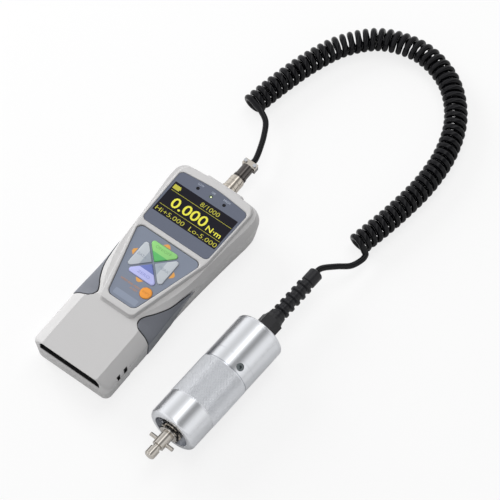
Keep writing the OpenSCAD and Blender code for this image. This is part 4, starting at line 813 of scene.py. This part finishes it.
# Epoxy lens of an unlit lamp: dark and clear. The middle one is lit, pale green
dark_lens = surface("dark_epoxy_lens", "#0E0F15", 0.15, grain=(2, 0.004), mottle=(2, 0.1),
                    Specular_IOR_Level=0.2)
finish_piece(solid("status_lights_off", light_dome(-lights_step), light_dome(lights_step)), dark_lens,
             "display_unit", ["status_lights"], 40)
lit_lens = surface("green_epoxy_lens", "#47602F", 0.15, grain=(2, 0.004), mottle=(2, 0.1))
finish_piece(solid("status_light_on", light_dome(0)), lit_lens,
             "display_unit", ["status_lights"], 40)
core_plan = circle(0.25, lights_y - 0.3, 0.62, 24)
finish_piece(solid("status_light_core", prism(core_plan, window_top, window_top + 0.16)),
             glowing("lit_green_core", "#EAF3C4", 0.5), "display_unit", (), 40)

# ---- Keypad -------------------------------------------------------------------------------------
# Four three-cornered keys and a round one, moulded in one silicone mat and printed in two tones,
# stand through a printed polycarbonate sheet. Orange marks show each key's second use.
sheet_top, key_top, shade_line_t = 32.15, 32.75, 0.05


def pierced(name, inset, z1):
    """A sheet over the keypad's floor with the keys' holes in it."""
    return combine(
        solid(name, prism(keypad_outline(inset), key_floor_z, z1)), "DIFFERENCE",
        *[solid("key_hole", prism(key_outline(0.22, turn), *through)) for turn in quarter_turns],
        solid("round_hole", prism(circle(*round_key, round_key_r + 0.2), *through)))


def body_of(node):
    """The moving body that a CAD node belongs to."""
    return frame["nodes"][node]["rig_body"]


# Printed polycarbonate again, in a lighter blue-grey, over a black sheet that paints shade: a dark line where
# the recess's wall lies in shade
keypad_print = surface("back_printed_keypad_sheet", "#7C8494", 0.42, grain=(0.7, 0.015), mottle=(22, 0.03))
finish_piece(pierced("keypad_sheet", 0.4, sheet_top), keypad_print,
             "display_unit", ["keypad_sheet"])
finish_piece(pierced("keypad_shade_line", 0.03, key_floor_z + shade_line_t), painted_shade_black,
             "display_unit")
# Each key's turn, the ink of its rim and the darker ink of its point
key_inks = {
    "key_power": (0, "#90D17D", "#5CB868"), "key_left": (90, "#BFC5CB", "#9FA8B2"),
    "key_zero": (180, "#BABEF0", "#6876B8"), "key_right": (270, "#BFC5CB", "#9FA8B2")}
tone_line = 7.6
# Height and growth of a key's outline: its flange under the sheet, its side and its rounded rim
flange_steps = [(29.3, 0.42), (29.9, 0.42), (29.9, 0)]
key_steps = flange_steps + [(32.25, 0), (32.5, -0.07), (32.67, -0.25), (key_top, -0.6)]
round_steps = flange_steps + [(32.1, 0), (32.5, -0.12), (32.72, -0.5), (key_top, -1.2)]
for name, (turn, light_ink, dark_ink) in key_inks.items():
    heading = Vector((-math.sin(math.radians(turn)), math.cos(math.radians(turn)), 0))
    line_point = Vector((0, keys_y, 0)) + tone_line * heading
    # Printed silicone: matt and soft, light towards the rim and darker towards the middle
    key_silicone = surface("printed_silicone_" + name, light_ink, 0.55, grain=(0.6, 0.02), mottle=(6, 0.02),
                           split=(line_point, heading, dark_ink), Sheen_Weight=0.1)
    key = solid(name, loft([[(x, y, z) for x, y in key_outline(g, turn)] for z, g in key_steps]))
    finish_piece(key, key_silicone, body_of(name), [name], 35)
# Orange silicone, coloured right through, with the same soft matt skin
orange_silicone = surface("moulded_orange_silicone", "#EE9C3E", 0.5, grain=(0.6, 0.02), mottle=(4, 0.04))
key = solid("key_round", loft([
    [(x, y, z) for x, y in circle(*round_key, round_key_r + g, 48)] for z, g in round_steps]))
finish_piece(key, orange_silicone, body_of("key_round"), ["key_round"], 35)
# Lettering of each key in a darker tone of its own ink, so it moves with its key
key_words = [
    ("key_power", "ON/OFF", (-6.6, 6.6, 104.9, 107.1), "#78B268"),
    ("key_left", "DATA", (-13.6, -6.2, 93.2, 95.2), "#929BA8"),
    ("key_zero", "ZERO", (-5, 5.4, 81.9, 84.1), "#8E94D2"),
    ("key_right", "PEAK", (5.2, 13.8, 93.2, 95.2), "#929BA8"),
    ("key_round", "SHIFT", (7.6, 13.2, 71.7, 73.1), "#D08232")]
for name, text, box, ink in key_words:
    key_ink = surface("key_ink_" + name, ink, 0.5, grain=(0.4, 0.01), mottle=(2, 0.06))
    finish_piece(solid("word_" + name, lettering(text, *box, key_top)), key_ink,
                 body_of(name))


def arrow(x, y, turn):
    """A small blunt arrowhead printed on the sheet, pointing away from the keys."""
    c, s = math.cos(math.radians(turn)), math.sin(math.radians(turn))
    plan = [(-3.1, 0), (-2.5, 0.9), (-0.9, 2.5), (0.9, 2.5), (2.5, 0.9), (3.1, 0)]
    return prism([(x + c * p - s * q, y + s * p + c * q) for p, q in reversed(plan)],
                 sheet_top, sheet_top + ink_t)


# Screen inks on the sheet: orange marks, a thin rust-red note and a pale plate, all half matt
orange_ink = surface("orange_screen_ink", "#E3A352", 0.45, grain=(0.4, 0.01), mottle=(2, 0.08))
mark_x = 15.7
finish_piece(solid("keypad_marks", arrow(0, 109.7, 0), arrow(-mark_x, keys_y, 90), arrow(0, 78.7, 180),
                   arrow(mark_x, keys_y, 270)), orange_ink, "display_unit")
rust_ink = surface("rust_screen_ink", "#B48668", 0.45, grain=(0.4, 0.01), mottle=(2, 0.08))
note_bold = 0.02
finish_piece(solid("keypad_note", lettering("HOLD AND PRESS", -11.2, 5, 71.6, 73.1, sheet_top, note_bold),
                   lettering("A KEY", -1.4, 5, 69, 70.5, sheet_top, note_bold)), rust_ink,
             "display_unit")
plate_ink = surface("pale_plate_ink", "#8B94A6", 0.42, grain=(0.6, 0.012), mottle=(12, 0.03))
plate_plan = rounded([(-9, 59.6), (10.6, 59.6), (10.6, 64.4), (-9, 64.4)], [0.6])
finish_piece(solid("bare_plate", prism(plate_plan, sheet_top, sheet_top + 0.03)), plate_ink,
             "display_unit")

# ---- Inside the case ----------------------------------------------------------------------------
# Green glass-fibre boards with black moulded chips, steel screws and domes, and four sleeved AAA
# cells in a black tray. They show through the openings and when the case is taken apart.


def dress(finish, *nodes):
    """Gives CAD nodes that are shown as they are their finish."""
    for node in nodes:
        faces = frame["nodes"][node].data
        faces.materials.clear()
        faces.materials.append(finish)


# Glass-fibre board under green solder mask, with the weave as a faint grain
solder_mask = surface("green_solder_mask", "#1D6B3C", 0.35, grain=(0.5, 0.02), mottle=(5, 0.15))
# Plastics: dull black epoxy round the chips, black nylon, a glossy shrunk sleeve, cream insulators
moulded_epoxy = surface("moulded_black_epoxy", "#1B1B1D", 0.5, grain=(0.3, 0.02), mottle=(4, 0.1))
black_nylon = surface("moulded_black_nylon", "#242427", 0.42, grain=(0.5, 0.03), mottle=(8, 0.08))
cell_sleeve = surface("shrunk_blue_cell_sleeve", "#3F78A8", 0.28, grain=(3, 0.02), mottle=(10, 0.08))
cream_insulator = surface("moulded_cream_insulator", "#D8D6CC", 0.45, grain=(0.5, 0.02), mottle=(4, 0.04))
# Metals: blue-white zinc and half-bright brass, and nickel plate, warmer in tone and nearly polished
zinc_steel = surface("zinc_plated_steel", "#B9BBBF", 0.3, 1.0, grain=(0.3, 0.01), mottle=(2.5, 0.08))
nickel_plate = surface("satin_nickel_plate", "#C4BDB3", 0.14, 1.0, grain=(0.3, 0.006), mottle=(5, 0.05))
turned_brass = surface("turned_brass", "#C29E4D", 0.3, 1.0, grain=(0.3, 0.01), mottle=(4, 0.08))
# The dark display's glass: black and polished
display_glass_black = surface("black_display_glass", "#121217", 0.08, grain=(8, 0.003), mottle=(30, 0.05))
dress(solder_mask, "display_board", "keypad_board", "main_board", "io_board", "amplifier_board")
dress(moulded_epoxy, "board_chips")
dress(black_nylon, "battery_tray", "power_jack", "io_connector")
dress(cell_sleeve, "battery_cells")
dress(zinc_steel, "case_screws", "board_screws", "key_domes", "usb_socket")
dress(nickel_plate, "battery_contacts", "receptacle_nut")
dress(turned_brass, "mount_inserts", "receptacle_pins")
dress(cream_insulator, "receptacle_insert", "plug_insert")
dress(display_glass_black, "display_glass")

# ---- Connector and plug -------------------------------------------------------------------------
# A round push-pull connector in turned brass with satin nickel plate: the socket's flanged barrel
# on the case, and the plug with its sliding sleeve and the saddle that clamps the cord.


def eased(profile, size):
    """A profile with its corners rounded, apart from those on the axis."""
    return rounded(profile, [0 if r < 0.01 else size for r, s in profile], 3)


def spun(profile, foot, way, sides=96):
    """A turned shape: a closed profile of radius and distance, swept round an axis."""
    across = Vector((way.y, -way.x, 0))
    points = []
    for r, s in profile:
        for a in (2 * math.pi * i / sides for i in range(sides)):
            outward = math.cos(a) * across + math.sin(a) * Vector((0, 0, 1))
            points.append(tuple(foot + s * way + r * outward))
    n = len(profile)
    faces = [(k * sides + i, k * sides + (i + 1) % sides, (k + 1) % n * sides + (i + 1) % sides,
              (k + 1) % n * sides + i) for k in range(n) for i in range(sides)]
    return points, faces


con_foot, con_way = Vector((0, con_y, con_z)), Vector((0, 1, 0))
sleeve_profile = [(4.65, 4.6), (5.3, 4.6), (5.3, 5.4), (5.65, 5.4), (5.65, 9.2), (5.3, 9.2), (5.3, 10),
                  (5.65, 10), (5.65, 13.8), (5.3, 13.8), (5.3, 14.6), (4.65, 14.6)]
dress(nickel_plate, "receptacle", "cable_clamp")
# Black chrome: a smooth gunmetal grey that mirrors the room darkly
black_chrome = surface("satin_black_chrome", "#5C5856", 0.14, 1.0, grain=(0.3, 0.004), mottle=(5, 0.05))
dress(black_chrome, "plug_shell")
finish_piece(solid("coupling_sleeve", spun(eased(sleeve_profile, 0.15), con_foot, con_way)), nickel_plate,
             body_of("coupling_sleeve"), ["coupling_sleeve"], 30)
dress(zinc_steel, "clamp_screws")

# ---- Torque sensor ------------------------------------------------------------------------------
# Front housing, middle ring and rear housing, turned from aluminium bar, bead-blasted lightly and
# clear anodised. Fine tool marks run round them. The front takes a dark flange with two screws.
across_sensor = Vector((sensor_way.y, -sensor_way.x, 0))
axis_angle = math.degrees(sensor_turn)
# Turned aluminium: bright and satin, with soft streaks where the tool marks run round
turned_aluminium = surface("turned_satin_aluminium", "#DFE1E5", 0.24, 1.0, grain=(0.4, 0.0012),
                           mottle=(40, 0.01), turned=(axis_angle, 0.25))
sensor_r, nose_r, tail_r = 19, 3, 2
front_round = [(sensor_r - nose_r + nose_r * math.sin(a), nose_r - nose_r * math.cos(a))
               for a in (math.pi / 2 * i / 10 for i in range(11))]
front_profile = [(13.8, 0)] + front_round + [
    (sensor_r, 21.1), (18.5, 21.1), (18.5, 21.7), (16.4, 21.7), (16.4, 29.7), (12, 29.7), (12, 9), (9.2, 9),
    (9.2, 6), (13.8, 6)]
rear_round = [(sensor_r - tail_r + tail_r * math.sin(a), sensor_l - tail_r + tail_r * math.cos(a))
              for a in (math.pi / 2 * i / 8 for i in range(9))]
rear_profile = [(0, 66), (18.7, 66), (sensor_r, 66.3), (sensor_r, 93.4), (18.85, 93.55), (18.85, 93.8),
                (sensor_r, 93.95)] + rear_round[::-1] + [(0, sensor_l)]
for name, profile in (("sensor_front", front_profile), ("sensor_rear", rear_profile)):
    finish_piece(solid(name, spun(profile, sensor_face, sensor_way, 160)), turned_aluminium,
                 body_of(name), [name], 30)
dress(turned_aluminium, "middle_ring")
# Steels: a dull dark flange, a blackened screw, and a ground shaft that shines, all a little uneven
flange_steel = surface("bead_blasted_flange_steel", "#7B7D82", 0.3, 1.0, grain=(0.4, 0.01), mottle=(5, 0.05))
dress(flange_steel, "front_flange")
dress(zinc_steel, "flange_screws")
screw_steel = surface("black_oxide_screw_steel", "#6A7072", 0.3, 1.0, grain=(0.3, 0.01), mottle=(2, 0.1))
dress(screw_steel, "housing_screw")
hard_steel = surface("ground_hardened_steel", "#BDB8B1", 0.15, 1.0, grain=(0.5, 0.006), mottle=(6, 0.06),
                     turned=(axis_angle, 0.4))
dress(hard_steel, "drive_shaft", "cross_pin", "front_bearing", "torsion_bar")
# Strain gauges: copper-coloured foil on an amber film
gauge_film = surface("foil_gauge_on_film", "#D9A23C", 0.35, grain=(0.4, 0.01), mottle=(1.5, 0.12))
dress(gauge_film, "strain_gauges")

# ---- Knurled sleeve -----------------------------------------------------------------------------
# A turned aluminium sleeve for the hand, rolled with a diamond knurl. Each diamond is a low pyramid,
# set in staggered rows round the sleeve.
knurl_from, knurl_to, knurl_root, knurl_tip = 21.7, 57, 18.85, 19.27
knurl_pitch, knurl_row, knurl_start = 1.6, 0.8, 1.1
base_profile = [(16.5, knurl_from), (18.5, knurl_from), (knurl_root, knurl_from + 0.4),
                (knurl_root, knurl_to - 0.4), (18.5, knurl_to), (16.5, knurl_to)]
finish_piece(solid("knurled_sleeve", spun(base_profile, sensor_face, sensor_way, 120)), turned_aluminium,
             body_of("knurled_sleeve"), ["knurled_sleeve"], 30)


def teeth_tree():
    """Pyramids in staggered rows round the Z axis, pointing outwards."""
    tree = bpy.data.node_groups.new("rows_of_teeth", "GeometryNodeTree")
    sizes = ["Root Radius", "Row Step", "Start", "Tooth Radius", "Tooth Height"]
    kinds = [("Count Round", "Int"), ("Rows", "Int")] + [(name, "Float") for name in sizes]
    for name, kind in kinds + [("Finish", "Material")]:
        tree.interface.new_socket(name=name, in_out="INPUT", socket_type="NodeSocket" + kind)
    tree.interface.new_socket(name="Geometry", in_out="OUTPUT", socket_type="NodeSocketGeometry")
    given = add(tree, "NodeGroupInput").outputs
    total = add(tree, "ShaderNodeMath", {0: given["Count Round"], 1: given["Rows"]}, operation="MULTIPLY")
    index = add(tree, "GeometryNodeInputIndex").outputs[0]
    turns = add(tree, "ShaderNodeMath", {0: index, 1: given["Count Round"]}, operation="DIVIDE").outputs[0]
    row = add(tree, "ShaderNodeMath", {0: turns}, operation="FLOOR").outputs[0]
    # Every other row is set half a tooth on
    odd = add(tree, "ShaderNodeMath", {0: row, 1: 2.0}, operation="MODULO").outputs[0]
    shift = add(tree, "ShaderNodeMath", {0: odd, 1: 0.5}, operation="MULTIPLY").outputs[0]
    step = add(tree, "ShaderNodeMath", {0: index, 1: shift}, operation="ADD").outputs[0]
    share = add(tree, "ShaderNodeMath", {0: step, 1: given["Count Round"]}, operation="DIVIDE").outputs[0]
    angle = add(tree, "ShaderNodeMath", {0: share, 1: 2 * math.pi}, operation="MULTIPLY").outputs[0]
    cosine = add(tree, "ShaderNodeMath", {0: angle}, operation="COSINE").outputs[0]
    sine = add(tree, "ShaderNodeMath", {0: angle}, operation="SINE").outputs[0]
    x = add(tree, "ShaderNodeMath", {0: cosine, 1: given["Root Radius"]}, operation="MULTIPLY").outputs[0]
    y = add(tree, "ShaderNodeMath", {0: sine, 1: given["Root Radius"]}, operation="MULTIPLY").outputs[0]
    up = add(tree, "ShaderNodeMath", {
        0: row, 1: given["Row Step"], 2: given["Start"]}, operation="MULTIPLY_ADD").outputs[0]
    place = add(tree, "ShaderNodeCombineXYZ", {0: x, 1: y, 2: up}).outputs[0]
    spots = add(tree, "GeometryNodePoints", {"Count": total.outputs[0], "Position": place})
    way = add(tree, "ShaderNodeCombineXYZ", {0: 0.0, 1: math.pi / 2, 2: angle}).outputs[0]
    tooth = add(tree, "GeometryNodeMeshCone", {
        "Vertices": 4, "Radius Top": 0.0, "Radius Bottom": given["Tooth Radius"],
        "Depth": given["Tooth Height"]}, fill_type="NONE")
    rows = add(tree, "GeometryNodeInstanceOnPoints", {
        "Points": spots.outputs[0], "Instance": tooth.outputs["Mesh"], "Rotation": way})
    real = add(tree, "GeometryNodeRealizeInstances", {"Geometry": rows.outputs[0]})
    set_finish = add(tree, "GeometryNodeSetMaterial", {
        "Geometry": real.outputs[0], "Material": given["Finish"]})
    add(tree, "NodeGroupOutput", {"Geometry": set_finish.outputs[0]})
    return tree


knurl = bpy.data.objects.new("knurl", bpy.data.meshes.new("knurl"))
scene.collection.objects.link(knurl)
rows_change = knurl.modifiers.new("rows", "NODES")
rows_change.node_group = teeth_tree()
# Rolled aluminium: the same metal, but its cold-worked teeth scatter the light and look matt
knurled_aluminium = surface("rolled_satin_aluminium", "#D8DADE", 0.42, 1.0, grain=(0.3, 0.006),
                            mottle=(12, 0.03))
knurl_values = {
    "Count Round": round(2 * math.pi * knurl_root / knurl_pitch),
    "Rows": int((knurl_to - knurl_from - 1) / knurl_row), "Root Radius": knurl_root / 1000,
    "Row Step": knurl_row / 1000, "Start": (knurl_from + knurl_start) / 1000,
    "Tooth Radius": knurl_pitch / 2000, "Tooth Height": (knurl_tip - knurl_root) / 1000,
    "Finish": knurled_aluminium}
for item in rows_change.node_group.interface.items_tree:
    if item.in_out == "INPUT":
        rows_change[item.identifier] = knurl_values[item.name]
settle(knurl)
to_sensor = Matrix((across_sensor, Vector((0, 0, -1)), sensor_way)).transposed().to_4x4()
knurl.data.transform(Matrix.Translation(mm(*sensor_face)) @ to_sensor)
finish_piece(knurl, knurled_aluminium, body_of("knurled_sleeve"), (), 15)

# ---- Cord gland and boot ------------------------------------------------------------------------
# A hexagonal nut in black nylon clamps the cord behind the rear housing. The boot's ribs, moulded
# in black PVC, keep the cord from a sharp bend where it leaves.
# Black nylon and black PVC: half matt, with a faint moulded grain
gland_nylon = surface("moulded_black_gland_nylon", "#18181B", 0.35, grain=(0.6, 0.02), mottle=(6, 0.08),
                      Specular_IOR_Level=0.35)
dress(gland_nylon, "gland_nut")
boot_start, boot_bore, boot_root, boot_l = 112, 2.25, 4.4, 46.1
rib_count, rib_step, rib_r, first_rib = 5, 6.1, 6, 5.6
boot_outer = [(6.3, 0), (5.9, 3.6), (boot_root, 4.4)]
for i in range(rib_count):
    rib = first_rib + rib_step * i
    boot_outer += [(boot_root, rib), (rib_r, rib + 1), (rib_r, rib + 2.6), (boot_root, rib + 3.6)]
boot_outer += [(boot_root, 35.5), (5.3, 36.1), (5.3, 45.3), (4.5, boot_l)]
boot_profile = [(r, boot_start + s) for r, s in [(boot_bore, 0)] + boot_outer + [(boot_bore, boot_l)]]
boot_pvc = surface("moulded_black_pvc", "#16161A", 0.35, grain=(0.5, 0.02), mottle=(5, 0.08),
                   Specular_IOR_Level=0.35)
finish_piece(solid("cord_boot", spun(eased(boot_profile, 0.18), sensor_face, sensor_way, 64)), boot_pvc,
             body_of("cord_boot"), ["cord_boot"], 35)
